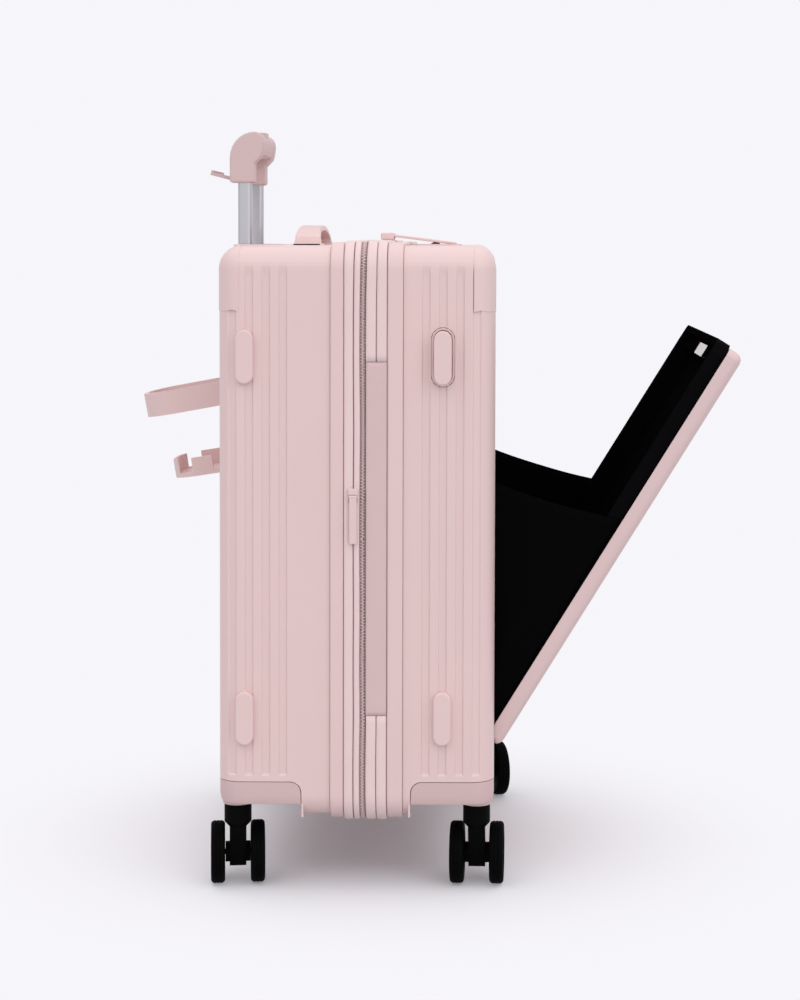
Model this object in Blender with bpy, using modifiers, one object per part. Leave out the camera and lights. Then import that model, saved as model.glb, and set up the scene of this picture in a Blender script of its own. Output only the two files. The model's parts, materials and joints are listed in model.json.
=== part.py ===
"""Hard shell carry-on suitcase on four twin-wheel casters, with a cup holder, phone rest,
bag hook and a front laptop door.

Metres, +Z up, +X towards the front door, -Y is the side with the bag hook. Every position below
is measured from the middle of the case's depth and width, at floor level. The whole case hangs
from one empty, case_frame, which puts the origin under the middle of the model as it stands.
"""

import math

import bmesh
import bpy
from mathutils import Matrix, Vector

MM = 0.001
GAP = 0.3 * MM  # between neighbouring pieces
BITE = 0.8 * MM  # how far a joined feature reaches into the piece that it grows from

# Case shells, from the back face forwards
CASE_WIDTH = 364 * MM
SHELL_BOTTOM = 65 * MM
SHELL_HEIGHT = 489 * MM
CORNER_RADIUS = 20 * MM
CORNER_STEPS = 6
SHELL_WALL = 1.6 * MM
REAR_SHELL_DEPTH = 95.7 * MM
FRONT_SHELL_DEPTH = 77.9 * MM
REAR_RIM_WIDTH = 11.6 * MM
EXPANSION_TAPE_WIDTH = 7.9 * MM
CENTRE_BAND_WIDTH = 19.0 * MM
FRONT_TAPE_WIDTH = 8.6 * MM
FRONT_RIM_WIDTH = 13.5 * MM
RIM_PROUD = 3.0 * MM
RIM_THICKNESS = 6.5 * MM
TAPE_PROUD = 4.5 * MM
TAPE_THICKNESS = 5.0 * MM
GROOVE_WIDTH = 4.0 * MM
GROOVE_DEPTH = 3.0 * MM
HINGE_WIDTH = 17.8 * MM
HINGE_BOTTOM = 155 * MM
HINGE_LENGTH = 301 * MM
EXPANSION_FOLD_THICKNESS = 2.0 * MM

# Upright flutes pressed into the shells, and the pads that the case lies on
FLUTE_WIDTH = 7.6 * MM
FLUTE_DEPTH = 1.4 * MM
FLUTE_PITCH = 14.4 * MM
FLUTE_COUNT = 4
FLUTE_BOTTOM = 101.5 * MM
REAR_FLUTE_INSET = 12.6 * MM
FRONT_FLUTE_INSET = 15.6 * MM
BACK_FLUTE_START = 98 * MM
FOOT_WIDTH = 15.2 * MM
FOOT_LENGTH = 46 * MM
FOOT_HEIGHT = 6 * MM
REAR_FOOT_INSET = 23.5 * MM
FRONT_FOOT_INSET = 44.5 * MM
LOWER_FOOT_Z = 152 * MM
UPPER_FOOT_Z = 460 * MM

# Casters and their housings
HOUSING_MARGIN = 6.9 * MM
HOUSING_WIDTH = 72 * MM
HOUSING_RAISE = 12 * MM
HOUSING_HEIGHT = 19.3 * MM
HOUSING_CORNER = 9 * MM
BOSS_RADIUS = 13 * MM
BOSS_DROP = 3.8 * MM
CASTER_INSET = 14.8 * MM
CASTER_SIDE_INSET = 24 * MM
NECK_RADIUS = 11.7 * MM
NECK_HEIGHT = 16 * MM
STEM_RADIUS = 4 * MM
STEM_HEIGHT = 12 * MM
CASTER_TRAIL = 12 * MM
FORK_WIDTH = 14.4 * MM
HUB_RADIUS = 8.8 * MM
HUB_LENGTH = 21.6 * MM
AXLE_RADIUS = 2.5 * MM
WHEEL_RADIUS = 26.6 * MM
WHEEL_WIDTH = 12.2 * MM
WHEEL_SHOULDER = 3.0 * MM

# Telescopic handle
TUBE_DEPTH = 12 * MM
TUBE_WIDTH = 14 * MM
TUBE_WALL = 1.0 * MM
TUBE_SPACING = 98 * MM
TUBE_CORNER = 3 * MM
TUBE_BRACKET_BOTTOM = 92 * MM
TUBE_BRACKET_HEIGHT = 11 * MM
INNER_TUBE_OVERLAP = 312 * MM
GRIP_BOTTOM = 610 * MM
GRIP_HEIGHT = 46 * MM
GRIP_LEG_DEPTH = 22.5 * MM
GRIP_BULGE = 8 * MM
GRIP_LEG_WIDTH = 19 * MM
GRIP_BACK_PROUD = 4 * MM
GRIP_BAR_UNDERSIDE = 24 * MM
GRIP_SOCKET_DEPTH = 14 * MM
BEZEL_DEPTH = 34 * MM
BEZEL_DROP = 42 * MM
BEZEL_WALL = 2.4 * MM
BUTTON_LENGTH = 26 * MM
BUTTON_WIDTH = 9 * MM
BUTTON_PROUD = 1.5 * MM
BUTTON_TRAVEL = 2.5 * MM
REST_LENGTH = 24 * MM
REST_THICKNESS = 3 * MM
REST_TILT = 14.4
REST_BARREL_RADIUS = 2.2 * MM
REST_PIN_RADIUS = 1.2 * MM

# Carry handle on the top
CARRY_X = -51 * MM
CARRY_WIDTH = 25 * MM
CARRY_SPAN = 126 * MM
CARRY_THICKNESS = 4.5 * MM
CARRY_RISE = 18 * MM
CARRY_TANG = 8 * MM
CARRY_CROWN_WIDTH = 18 * MM
SOCKET_LENGTH = 20 * MM
SOCKET_MARGIN = 2.2 * MM
SOCKET_PROUD = 1.4 * MM
SOCKET_DEPTH = 12 * MM

# Cup holder on the back
CUP_PLATE_BOTTOM = 322 * MM
CUP_PLATE_HEIGHT = 118 * MM
CUP_PLATE_THICKNESS = 2.7 * MM
CUP_LUG_THICKNESS = 4 * MM
CUP_LUG_REACH = 5.5 * MM
CUP_HINGE_OFF = 2.9 * MM
CUP_PIN_RADIUS = 1.4 * MM
RING_HINGE_Z = 429 * MM
RING_LENGTH = 86 * MM
RING_WIDTH = 88 * MM
RING_WALL = 4 * MM
RING_HEIGHT = 21.5 * MM
RING_CORNER = 34 * MM
RING_TILT = 10.5
TRAY_HINGE_Z = 348.5 * MM
TRAY_LENGTH = 54 * MM
TRAY_WIDTH = 72 * MM
TRAY_WALL = 3 * MM
TRAY_HEIGHT = 17 * MM
TRAY_CORNER = 22 * MM
TRAY_TILT = 9.0
TRAY_OPEN_END = 16 * MM
TRAY_NOTCH = 13 * MM
TRAY_NOTCH_START = 36 * MM

# Laptop door, modelled shut and then turned open about its pin
DOOR_SIDE_MARGIN = 30 * MM
DOOR_TOP_MARGIN = 28.4 * MM
DOOR_BOTTOM = 126 * MM
DOOR_DEPTH = 14.6 * MM
DOOR_WALL = 2 * MM
DOOR_CORNER = 7 * MM
DOOR_OPEN = 31.7
DOOR_SIDE_GAP = 1.5 * MM
DOOR_SILL_GAP = 5.5 * MM
DOOR_PIN_DROP = 11 * MM
DOOR_PIN_SETBACK = 10.3 * MM
DOOR_PIN_RADIUS = 2 * MM
FRAME_INSET = 6 * MM
FRAME_DEPTH = 23.5 * MM
FRAME_BORDER = 12 * MM
FRAME_PANEL = 3 * MM
ARM_THICKNESS = 10 * MM
ARM_DEPTH = 8 * MM
RAIL_RISE = 2.4 * MM
RAIL_SIDE_INSET = 1 * MM
RAIL_CORNER = 6 * MM
ARM_SPACING = 210 * MM
ARM_BOSS_RADIUS = 6 * MM
DOOR_FLUTE_PITCH = 34 * MM
DOOR_FLUTE_COUNT = 8
LATCH_Y = -4 * MM
LATCH_WIDTH = 64 * MM
LATCH_DEPTH = 4 * MM
LATCH_TALL = 12 * MM
LATCH_PROUD = 0.6 * MM
LATCH_DROP = 9 * MM
LATCH_RECESS = 7.8 * MM
LATCH_LEDGE = 2 * MM
LATCH_TRAVEL = 2 * MM
BOX_DEPTH = 54 * MM
BOX_WALL = 2 * MM
BOX_SIDE_GAP = 0.5 * MM
BOX_BELOW_PIN = 11 * MM
BOX_HEAD = 4 * MM
BOX_CORNER = 6 * MM
GUSSET_DOOR_REACH = 236 * MM
GUSSET_CASE_REACH = 242 * MM
GUSSET_START = 24 * MM

# Bag hook on the near side
HOOK_OUT = 12 * MM
HOOK_PLATE = 4.5 * MM
HOOK_STEM_RADIUS = 3.5 * MM
HOOK_SOCKET_LIP = 2.2 * MM
HOOK_SOCKET_PROUD = 1.2 * MM
HOOK_SOCKET_DEPTH = 14 * MM
HOOK_SOCKET_FLOOR = 2 * MM

# Zip sliders, pull tabs and the lock they end in
SLIDER_LENGTH = 12.5 * MM
SLIDER_WIDTH = 25 * MM
SLIDER_HEIGHT = 6.6 * MM
TAB_LENGTH = 60 * MM
TAB_WIDTH = 9 * MM
TAB_THICKNESS = 2.4 * MM
TAB_DROP = 7
TAB_SPREAD = 14 * MM
TAB_BARREL_RADIUS = 1.6 * MM
PULL_LENGTH = 40 * MM
PULL_WIDTH = 7 * MM
PULL_THICKNESS = 2.4 * MM
PULL_TOP = 342 * MM
LOCK_LENGTH = 42 * MM
LOCK_WIDTH = 58 * MM
LOCK_OFFSET = 12 * MM
LOCK_DEPTH = 9.5 * MM
LOCK_PROUD = 1.2 * MM
LOCK_CORNER = 5 * MM
LOCK_RECESS = 2.8 * MM
DIAL_RADIUS = 6 * MM
DIAL_WIDTH = 3.4 * MM
DIAL_PITCH = 4.4 * MM
DIAL_AXLE_RADIUS = 1.0 * MM
LOCK_BUTTON = 7 * MM
LOCK_BUTTON_TRAVEL = 3 * MM

# Lining of the main compartment
LINING_WALL = 1.2 * MM
LINING_SIDE_GAP = 0.5 * MM

# Stations that follow from the sizes
BANDS = REAR_RIM_WIDTH + EXPANSION_TAPE_WIDTH + CENTRE_BAND_WIDTH + FRONT_TAPE_WIDTH + FRONT_RIM_WIDTH
CASE_DEPTH = REAR_SHELL_DEPTH + BANDS + 6 * GAP + FRONT_SHELL_DEPTH
HOUSING_LENGTH = FRONT_SHELL_DEPTH - HOUSING_MARGIN
X_BACK = -CASE_DEPTH / 2
X_FRONT = CASE_DEPTH / 2
HALF = CASE_WIDTH / 2
SHELL_TOP = SHELL_BOTTOM + SHELL_HEIGHT
REAR_SHELL_END = X_BACK + REAR_SHELL_DEPTH
REAR_RIM_START = REAR_SHELL_END + GAP
EXPANSION_TAPE_START = REAR_RIM_START + REAR_RIM_WIDTH + GAP
CENTRE_BAND_START = EXPANSION_TAPE_START + EXPANSION_TAPE_WIDTH + GAP
CENTRE_BAND_END = CENTRE_BAND_START + CENTRE_BAND_WIDTH
FRONT_TAPE_START = CENTRE_BAND_END + GAP
FRONT_RIM_START = FRONT_TAPE_START + FRONT_TAPE_WIDTH + GAP
FRONT_RIM_END = FRONT_RIM_START + FRONT_RIM_WIDTH
FRONT_SHELL_START = FRONT_RIM_END + GAP
LINING_HALF = HALF - SHELL_WALL - FLUTE_DEPTH - LINING_SIDE_GAP
TUBE_OUTER_GAP = GAP + TUBE_WALL
TUBE_X = X_BACK + SHELL_WALL + GAP + TUBE_OUTER_GAP + TUBE_DEPTH / 2
GRIP_BACK = X_BACK - GRIP_BACK_PROUD
GRIP_HALF = TUBE_SPACING / 2 + GRIP_LEG_WIDTH / 2
BEZEL_HALF = GRIP_HALF + BEZEL_WALL + GAP
BEZEL_FRONT = X_BACK + BEZEL_DEPTH
BEZEL_FLOOR = SHELL_TOP - BEZEL_DROP
FLUTE_BACKING_TOP = SHELL_TOP - CORNER_RADIUS + 4 * MM
HOUSING_BOTTOM = SHELL_BOTTOM + HOUSING_RAISE
HOUSING_TOP = HOUSING_BOTTOM + HOUSING_HEIGHT
CASTER_REAR_X = X_BACK + CASTER_INSET
CASTER_FRONT_X = X_FRONT - CASTER_INSET
CASTER_Y = HALF - CASTER_SIDE_INSET
NECK_TOP = HOUSING_BOTTOM - BOSS_DROP - GAP
DOOR_FACE = X_FRONT + GAP
DOOR_BACK = DOOR_FACE - DOOR_DEPTH
DOOR_TOP = SHELL_TOP - DOOR_TOP_MARGIN
DOOR_HALF = HALF - DOOR_SIDE_MARGIN
DOOR_PIN = (DOOR_FACE - DOOR_PIN_SETBACK, DOOR_BOTTOM - DOOR_PIN_DROP)
OPENING_HALF = DOOR_HALF + DOOR_SIDE_GAP
OPENING_BOTTOM = DOOR_BOTTOM - DOOR_SILL_GAP
RAIL_TOP = DOOR_TOP + RAIL_RISE
OPENING_TOP = RAIL_TOP + DOOR_SIDE_GAP
BOX_FRONT = X_FRONT - SHELL_WALL - GAP
BOX_HALF = OPENING_HALF + BOX_SIDE_GAP + BOX_WALL
FRAME_HALF = DOOR_HALF - FRAME_INSET
FRAME_FRONT = DOOR_FACE - DOOR_WALL - FLUTE_DEPTH - GAP
FRAME_BACK = FRAME_FRONT - FRAME_DEPTH
RAIL_HALF = FRAME_HALF - RAIL_SIDE_INSET
LATCH_FACE = FRAME_BACK + LATCH_RECESS
LATCH_TOP = RAIL_TOP - LATCH_DROP
CUP_PLATE_FACE = X_BACK - GAP - CUP_PLATE_THICKNESS
CUP_HINGE_X = CUP_PLATE_FACE - CUP_HINGE_OFF
CARRY_BASE = SHELL_TOP + SOCKET_PROUD + GAP
LOCK_START = FRONT_SHELL_START + 4 * MM
LOCK_TOP = SHELL_TOP + LOCK_PROUD
TAPE_TOP = SHELL_TOP + TAPE_PROUD
TAB_PIVOT = (FRONT_TAPE_START + 4.6 * MM, TAPE_TOP + GAP + 3.9 * MM)
DOOR_SWING = math.radians(DOOR_OPEN)
TOP_ROUND = (DOOR_FACE - DOOR_CORNER, DOOR_TOP - DOOR_CORNER)
FRONT_REACH = (
    DOOR_PIN[0]
    + (TOP_ROUND[0] - DOOR_PIN[0]) * math.cos(DOOR_SWING)
    + (TOP_ROUND[1] - DOOR_PIN[1]) * math.sin(DOOR_SWING)
    + DOOR_CORNER
)
BACK_REACH = CUP_HINGE_X - RING_LENGTH * math.cos(math.radians(RING_TILT))
CASE_X = -(FRONT_REACH + BACK_REACH) / 2
CASE_Y = (HOOK_OUT - FOOT_HEIGHT) / 2

PINK = (0.76, 0.57, 0.57)
BLACK = (0.012, 0.012, 0.014)
ALUMINIUM = (0.62, 0.66, 0.69)


def clear_scene():
    for old in list(bpy.data.objects):
        bpy.data.objects.remove(old, do_unlink=True)


def make_collection(name):
    group = bpy.data.collections.new(name)
    bpy.context.scene.collection.children.link(group)
    return group


clear_scene()
PARTS = make_collection("hard_shell_suitcase")
CUTTERS = make_collection("cutters")


def move_to(obj, group):
    for old in list(obj.users_collection):
        old.objects.unlink(obj)
    group.objects.link(obj)


def finish(obj, colour, roughness, metallic=0.0):
    material = bpy.data.materials.new(obj.name)
    material.use_nodes = True
    shader = material.node_tree.nodes["Principled BSDF"]
    shader.inputs["Base Color"].default_value = (*colour, 1.0)
    shader.inputs["Roughness"].default_value = roughness
    shader.inputs["Metallic"].default_value = metallic
    obj.data.materials.clear()
    obj.data.materials.append(material)
    return obj


def shell_finish(obj):
    return finish(obj, PINK, 0.38)


def trim_finish(obj):
    return finish(obj, PINK, 0.5)


def fabric_finish(obj):
    return finish(obj, PINK, 0.85)


def black_finish(obj):
    return finish(obj, BLACK, 0.4)


def cloth_finish(obj):
    return finish(obj, BLACK, 0.9)


def metal_finish(obj):
    return finish(obj, ALUMINIUM, 0.3, 1.0)


def axis_empty(name, place, parent, turn=(0.0, 0.0, 0.0)):
    """An empty on a joint's axis, at a place in the case's own coordinates."""
    empty = bpy.data.objects.new(name, None)
    PARTS.objects.link(empty)
    empty["place"] = tuple(place)
    empty.parent = parent
    origin = Vector(parent["place"]) if parent else Vector((0, 0, 0))
    empty.location = Vector(place) - origin
    empty.rotation_euler = turn
    return empty


CASE = axis_empty("case_frame", (0, 0, 0), None)
CASE.location = (CASE_X, CASE_Y, 0)


def put(obj, name, centre, parent):
    """Names an object and places it, with centre in the case's coordinates."""
    obj.name = name
    obj.data.name = name
    obj.parent = parent
    obj.location = Vector(centre) - Vector(parent["place"])
    move_to(obj, PARTS)
    return obj


def span(low, high):
    return (low + high) / 2, high - low


def block(name, x, y, z, parent=CASE, bevel=0.0, segments=2):
    """A box between two places on each axis, its edges rounded if bevel is given."""
    centres, sizes = zip(*(span(*pair) for pair in (x, y, z)))
    bpy.ops.mesh.primitive_cube_add(size=1)
    obj = put(bpy.context.object, name, centres, parent)
    obj.data.transform(Matrix.Diagonal((*sizes, 1)))
    if bevel:
        soften(obj, bevel, segments)
    return obj


def soften(obj, width, segments=2, angle=50):
    mod = obj.modifiers.new("soften", "BEVEL")
    mod.width = width
    mod.segments = segments
    mod.limit_method = "ANGLE"
    mod.angle_limit = math.radians(angle)
    return mod


def thicken(obj, wall):
    mod = obj.modifiers.new("wall", "SOLIDIFY")
    mod.thickness = wall
    mod.offset = -1
    mod.use_even_offset = True
    return mod


def rod(name, centre, axis, radius, length, parent=CASE, steps=20):
    bpy.ops.mesh.primitive_cylinder_add(vertices=steps, radius=radius, depth=length)
    obj = put(bpy.context.object, name, centre, parent)
    obj.data.transform(turn_z_to(axis))
    smooth(obj)
    return obj


def turn_z_to(axis):
    return Vector((0, 0, 1)).rotation_difference(Vector(axis)).to_matrix().to_4x4()


def smooth(obj):
    obj.data.shade_smooth()
    obj.data.set_sharp_from_angle(angle=math.radians(35))


def turned(name, profile, centre, axis, parent, steps=24):
    """A solid turned about axis from (radius, height) points, top to bottom on the outside."""
    mesh = bpy.data.meshes.new(name)
    points = [(radius, 0, height) for radius, height in profile]
    closed = profile[0][0] > 0
    edges = [(i, i + 1) for i in range(len(points) - 1)]
    if closed:
        edges.append((len(points) - 1, 0))
    mesh.from_pydata(points, edges, [])
    obj = bpy.data.objects.new(name, mesh)
    bpy.context.scene.collection.objects.link(obj)
    put(obj, name, centre, parent)
    mod = obj.modifiers.new("turn", "SCREW")
    mod.steps = mod.render_steps = steps
    mod.use_merge_vertices = True
    mod.merge_threshold = 1e-5
    obj.rotation_euler = turn_z_to(axis).to_euler()
    return obj


def plate(name, outline, centre, thickness, plane, parent=CASE):
    """A flat outline given thickness. plane is XZ or YZ, and the outline's points lie in it."""
    curve = bpy.data.curves.new(name, "CURVE")
    curve.dimensions = "2D"
    curve.fill_mode = "BOTH"
    curve.extrude = thickness / 2
    spline = curve.splines.new("POLY")
    spline.points.add(len(outline) - 1)
    for point, (u, v) in zip(spline.points, outline):
        point.co = (u, v, 0, 1)
    spline.use_cyclic_u = True
    guide = bpy.data.objects.new(name + "_outline", curve)
    bpy.context.scene.collection.objects.link(guide)
    evaluated = guide.evaluated_get(bpy.context.evaluated_depsgraph_get())
    mesh = bpy.data.meshes.new_from_object(evaluated)
    bpy.data.objects.remove(guide)
    work = bmesh.new()
    work.from_mesh(mesh)
    bmesh.ops.remove_doubles(work, verts=work.verts, dist=1e-6)
    bmesh.ops.dissolve_limit(work, angle_limit=0.001, verts=work.verts, edges=work.edges)
    bmesh.ops.recalc_face_normals(work, faces=work.faces)
    work.to_mesh(mesh)
    work.free()
    stand = Matrix.Rotation(math.pi / 2, 4, "X")
    if plane == "YZ":
        stand = Matrix.Rotation(math.pi / 2, 4, "Z") @ stand
    mesh.transform(stand)
    obj = bpy.data.objects.new(name, mesh)
    bpy.context.scene.collection.objects.link(obj)
    return put(obj, name, centre, parent)


def arc(centre, radii, start, end, steps):
    """Points on part of an ellipse, angles in degrees, both ends included."""
    points = []
    for i in range(steps + 1):
        angle = math.radians(start + (end - start) * i / steps)
        points.append((centre[0] + radii[0] * math.cos(angle), centre[1] + radii[1] * math.sin(angle)))
    return points


def capsule(width, height, steps=6):
    reach = height / 2 - width / 2
    radii = (width / 2, width / 2)
    return arc((0, reach), radii, 0, 180, steps) + arc((0, -reach), radii, 180, 360, steps)


def open_sides(obj, *keep_out):
    """Deletes the faces whose normals are listed, which leaves an open surface."""
    work = bmesh.new()
    work.from_mesh(obj.data)
    work.normal_update()
    ends = [f for f in work.faces if any(f.normal.dot(Vector(n)) > 0.9 for n in keep_out)]
    bmesh.ops.delete(work, geom=ends, context="FACES")
    work.to_mesh(obj.data)
    work.free()


def round_edges_along(obj, axis, radius, segments):
    """Rounds the edges of a box that run along one axis."""
    direction = Vector(axis)
    work = bmesh.new()
    work.from_mesh(obj.data)
    along = []
    for edge in work.edges:
        line = (edge.verts[1].co - edge.verts[0].co).normalized()
        if abs(line.dot(direction)) > 0.99:
            along.append(edge)
    bmesh.ops.bevel(work, geom=along, offset=radius, segments=segments, profile=0.5, affect="EDGES")
    work.to_mesh(obj.data)
    work.free()


def cutter(obj):
    obj.hide_render = True
    obj.display_type = "WIRE"
    move_to(obj, CUTTERS)
    return obj


def combine(obj, tool, operation):
    mod = obj.modifiers.new(tool.name, "BOOLEAN")
    mod.operation = operation
    mod.object = cutter(tool)
    mod.solver = "EXACT"
    return obj


def cut(obj, tool):
    return combine(obj, tool, "DIFFERENCE")


def join(obj, tool):
    return combine(obj, tool, "UNION")


def band(name, start, width, proud, wall, parent=CASE):
    """A ring round the case, standing proud of the shells."""
    obj = block(
        name,
        (start, start + width),
        (-HALF - proud, HALF + proud),
        (SHELL_BOTTOM - proud, SHELL_TOP + proud),
        parent,
    )
    open_sides(obj, (1, 0, 0), (-1, 0, 0))
    round_edges_along(obj, (1, 0, 0), CORNER_RADIUS + proud, 5)
    thicken(obj, wall)
    smooth(obj)
    return obj


def tub(name, x, y, z, open_face, corner, wall, segments=4, parent=CASE):
    """A shell open on one face, with every outside edge rounded."""
    obj = block(name, x, y, z, parent)
    open_sides(obj, open_face)
    soften(obj, corner, segments)
    thicken(obj, wall)
    smooth(obj)
    return obj


def one_mesh(name, objects):
    """Joins separate tools into one object, which a single Boolean then uses."""
    work = bmesh.new()
    for obj in objects:
        copy = bpy.data.meshes.new_from_object(obj.evaluated_get(bpy.context.evaluated_depsgraph_get()))
        copy.transform(Matrix.Translation(obj.location) @ obj.rotation_euler.to_matrix().to_4x4())
        work.from_mesh(copy)
        bpy.data.meshes.remove(copy)
        bpy.data.objects.remove(obj)
    mesh = bpy.data.meshes.new(name)
    work.to_mesh(mesh)
    work.free()
    obj = bpy.data.objects.new(name, mesh)
    bpy.context.scene.collection.objects.link(obj)
    return put(obj, name, (0, 0, 0), CASE)


def flute_bar(place, outward, inner, outer, width, z):
    """An upright bar from inner to outer as measured along outward from a place on a wall."""
    middle, thickness = span(inner, outer)
    centre = Vector(place) + Vector(outward) * middle
    bar = block("flute", (-width / 2, width / 2), (-thickness / 2, thickness / 2), z)
    bar.data.transform(Matrix.Rotation(math.atan2(outward[1], outward[0]) - math.pi / 2, 4, "Z"))
    bar.data.transform(Matrix.Translation((centre.x, centre.y, 0)))
    return bar


def press_flutes(shell, places, wall, z, backing_top, parent=CASE):
    """Presses flutes into a shell: the wall keeps its thickness behind each one."""
    wide = FLUTE_WIDTH + 2 * wall
    deep = -wall - FLUTE_DEPTH
    ends = (z[0] - wall, backing_top)
    behind = [flute_bar(place, outward, deep, -wall / 2, wide, ends) for place, outward in places]
    join(shell, carried(one_mesh("flute_backing", behind), parent))
    hollow = [flute_bar(place, outward, -FLUTE_DEPTH, 3 * MM, FLUTE_WIDTH, z) for place, outward in places]
    cut(shell, carried(one_mesh("flute_hollow", hollow), parent))


def foot_pad(x, y_side, z):
    """A pad that stands on the wall and fills the flutes under it."""
    root = FLUTE_DEPTH + BITE
    centre = (x, y_side * (HALF + (FOOT_HEIGHT - root) / 2), z)
    obj = plate("foot", capsule(FOOT_WIDTH, FOOT_LENGTH), centre, FOOT_HEIGHT + root, "XZ")
    soften(obj, 1.5 * MM, 1)
    return obj


def side_flutes(end, inset):
    """Places and directions of the flutes on both sides; the outermost follow the corner's round."""
    bend = end * (CASE_DEPTH / 2 - CORNER_RADIUS)
    for side in (-1, 1):
        for i in range(FLUTE_COUNT):
            x = end * (CASE_DEPTH / 2 - inset - i * FLUTE_PITCH)
            past = max(end * (x - bend), 0)
            angle = math.asin(past / CORNER_RADIUS)
            outward = (end * math.sin(angle), side * math.cos(angle))
            fall = CORNER_RADIUS * (1 - math.cos(angle))
            yield (x, side * (HALF - fall)), outward


def back_flutes():
    for side in (-1, 1):
        for i in range(FLUTE_COUNT):
            yield (X_BACK, side * (BACK_FLUTE_START + i * FLUTE_PITCH)), (-1, 0)


def housing_outline(end, clearance):
    """Side outline of a wheel housing: its inner upper corner is rounded. end is -1 rear, 1 front."""
    outer = CASE_DEPTH / 2 + 2 * MM
    inner = CASE_DEPTH / 2 - HOUSING_LENGTH - clearance
    top = HOUSING_TOP + clearance
    bottom = HOUSING_BOTTOM if clearance == 0 else SHELL_BOTTOM - 5 * MM
    radius = HOUSING_CORNER + clearance
    points = [(outer, bottom), (outer, top)]
    points += arc((inner + radius, top - radius), (radius, radius), 90, 180, 4)
    points.append((inner, bottom))
    return [(end * u, v) for u, v in points][::end]


def housing_width(side, clearance):
    outer = HALF + 2 * MM
    inner = HALF - HOUSING_WIDTH - clearance
    return side * (outer + inner) / 2, outer - inner


def housing_cut(end, side):
    middle, width = housing_width(side, GAP)
    return cutter(plate("housing_space", housing_outline(end, GAP), (0, middle, 0), width, "XZ"))


def caster_place(end, side):
    return (CASTER_REAR_X if end < 0 else CASTER_FRONT_X, side * CASTER_Y)


def wheel_housing(name, end, side):
    """Corner piece that carries a caster: the corner of the case's own outer form."""
    obj = block(name, (X_BACK, X_FRONT), (-HALF, HALF), (SHELL_BOTTOM, SHELL_TOP))
    soften(obj, CORNER_RADIUS, CORNER_STEPS)
    middle, width = housing_width(side, 0)
    corner = plate(name + "_corner", housing_outline(end, 0), (0, middle, 0), width, "XZ")
    combine(obj, corner, "INTERSECT")
    x, y = caster_place(end, side)
    boss_height = BOSS_DROP + BITE
    boss_middle = HOUSING_BOTTOM - BOSS_DROP + boss_height / 2
    boss = rod(name + "_boss", (x, y, boss_middle), (0, 0, 1), BOSS_RADIUS, boss_height)
    join(obj, boss)
    bore_height = BOSS_DROP + STEM_HEIGHT
    bore_middle = HOUSING_BOTTOM - BOSS_DROP + bore_height / 2
    bore = rod(name + "_bore", (x, y, bore_middle - MM), (0, 0, 1), STEM_RADIUS + GAP, bore_height + 2 * MM)
    cut(obj, bore)
    return trim_finish(obj)


def rear_shell():
    obj = tub(
        "rear_shell",
        (X_BACK, REAR_SHELL_END),
        (-HALF, HALF),
        (SHELL_BOTTOM, SHELL_TOP),
        (1, 0, 0),
        CORNER_RADIUS,
        SHELL_WALL,
        segments=CORNER_STEPS,
    )
    places = list(side_flutes(-1, REAR_FLUTE_INSET)) + list(back_flutes())
    press_flutes(obj, places, SHELL_WALL, (FLUTE_BOTTOM, SHELL_TOP), FLUTE_BACKING_TOP)
    heights = (LOWER_FOOT_Z, UPPER_FOOT_Z)
    pads = [foot_pad(X_BACK + REAR_FOOT_INSET, side, z) for side in (-1, 1) for z in heights]
    join(obj, one_mesh("rear_feet", pads))
    for side in (-1, 1):
        cut(obj, housing_cut(-1, side))
    notch = block(
        "bezel_space",
        (X_BACK - 10 * MM, BEZEL_FRONT + GAP),
        (-BEZEL_HALF - GAP, BEZEL_HALF + GAP),
        (BEZEL_FLOOR - GAP, SHELL_TOP + 10 * MM),
    )
    cut(obj, notch)
    for side in (-1, 1):
        cut(obj, socket_block("carry_socket_space", side, GAP))
    return shell_finish(obj)


def front_shell():
    obj = tub(
        "front_shell",
        (FRONT_SHELL_START, X_FRONT),
        (-HALF, HALF),
        (SHELL_BOTTOM, SHELL_TOP),
        (-1, 0, 0),
        CORNER_RADIUS,
        SHELL_WALL,
        segments=CORNER_STEPS,
    )
    places = list(side_flutes(1, FRONT_FLUTE_INSET))
    press_flutes(obj, places, SHELL_WALL, (FLUTE_BOTTOM, SHELL_TOP), FLUTE_BACKING_TOP)
    x = X_FRONT - FRONT_FOOT_INSET
    pads = [foot_pad(x, -1, LOWER_FOOT_Z), foot_pad(x, 1, LOWER_FOOT_Z), foot_pad(x, 1, UPPER_FOOT_Z)]
    join(obj, one_mesh("front_feet", pads))
    for side in (-1, 1):
        cut(obj, housing_cut(1, side))
    opening = block(
        "door_opening",
        (X_FRONT - 8 * MM, X_FRONT + 8 * MM),
        (-OPENING_HALF, OPENING_HALF),
        (OPENING_BOTTOM, OPENING_TOP),
    )
    round_edges_along(opening, (1, 0, 0), DOOR_CORNER, 3)
    cut(obj, opening)
    margin = HOOK_SOCKET_LIP + GAP
    cut(obj, hook_form("hook_socket_space", margin, 2 * HOOK_SOCKET_DEPTH, HOOK_SOCKET_DEPTH / 2))
    cut(obj, lock_form("lock_space", GAP))
    return shell_finish(obj)


def hinge_window(name):
    """The length of the near side where the zip tapes give way to the fabric hinge."""
    middle = FRONT_TAPE_START - GAP / 2
    return block(
        name,
        (middle - HINGE_WIDTH / 2 - GAP, middle + HINGE_WIDTH / 2 + GAP),
        (-HALF - 20 * MM, -HALF + 10 * MM),
        (HINGE_BOTTOM - GAP, HINGE_BOTTOM + HINGE_LENGTH + GAP),
    )


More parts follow.
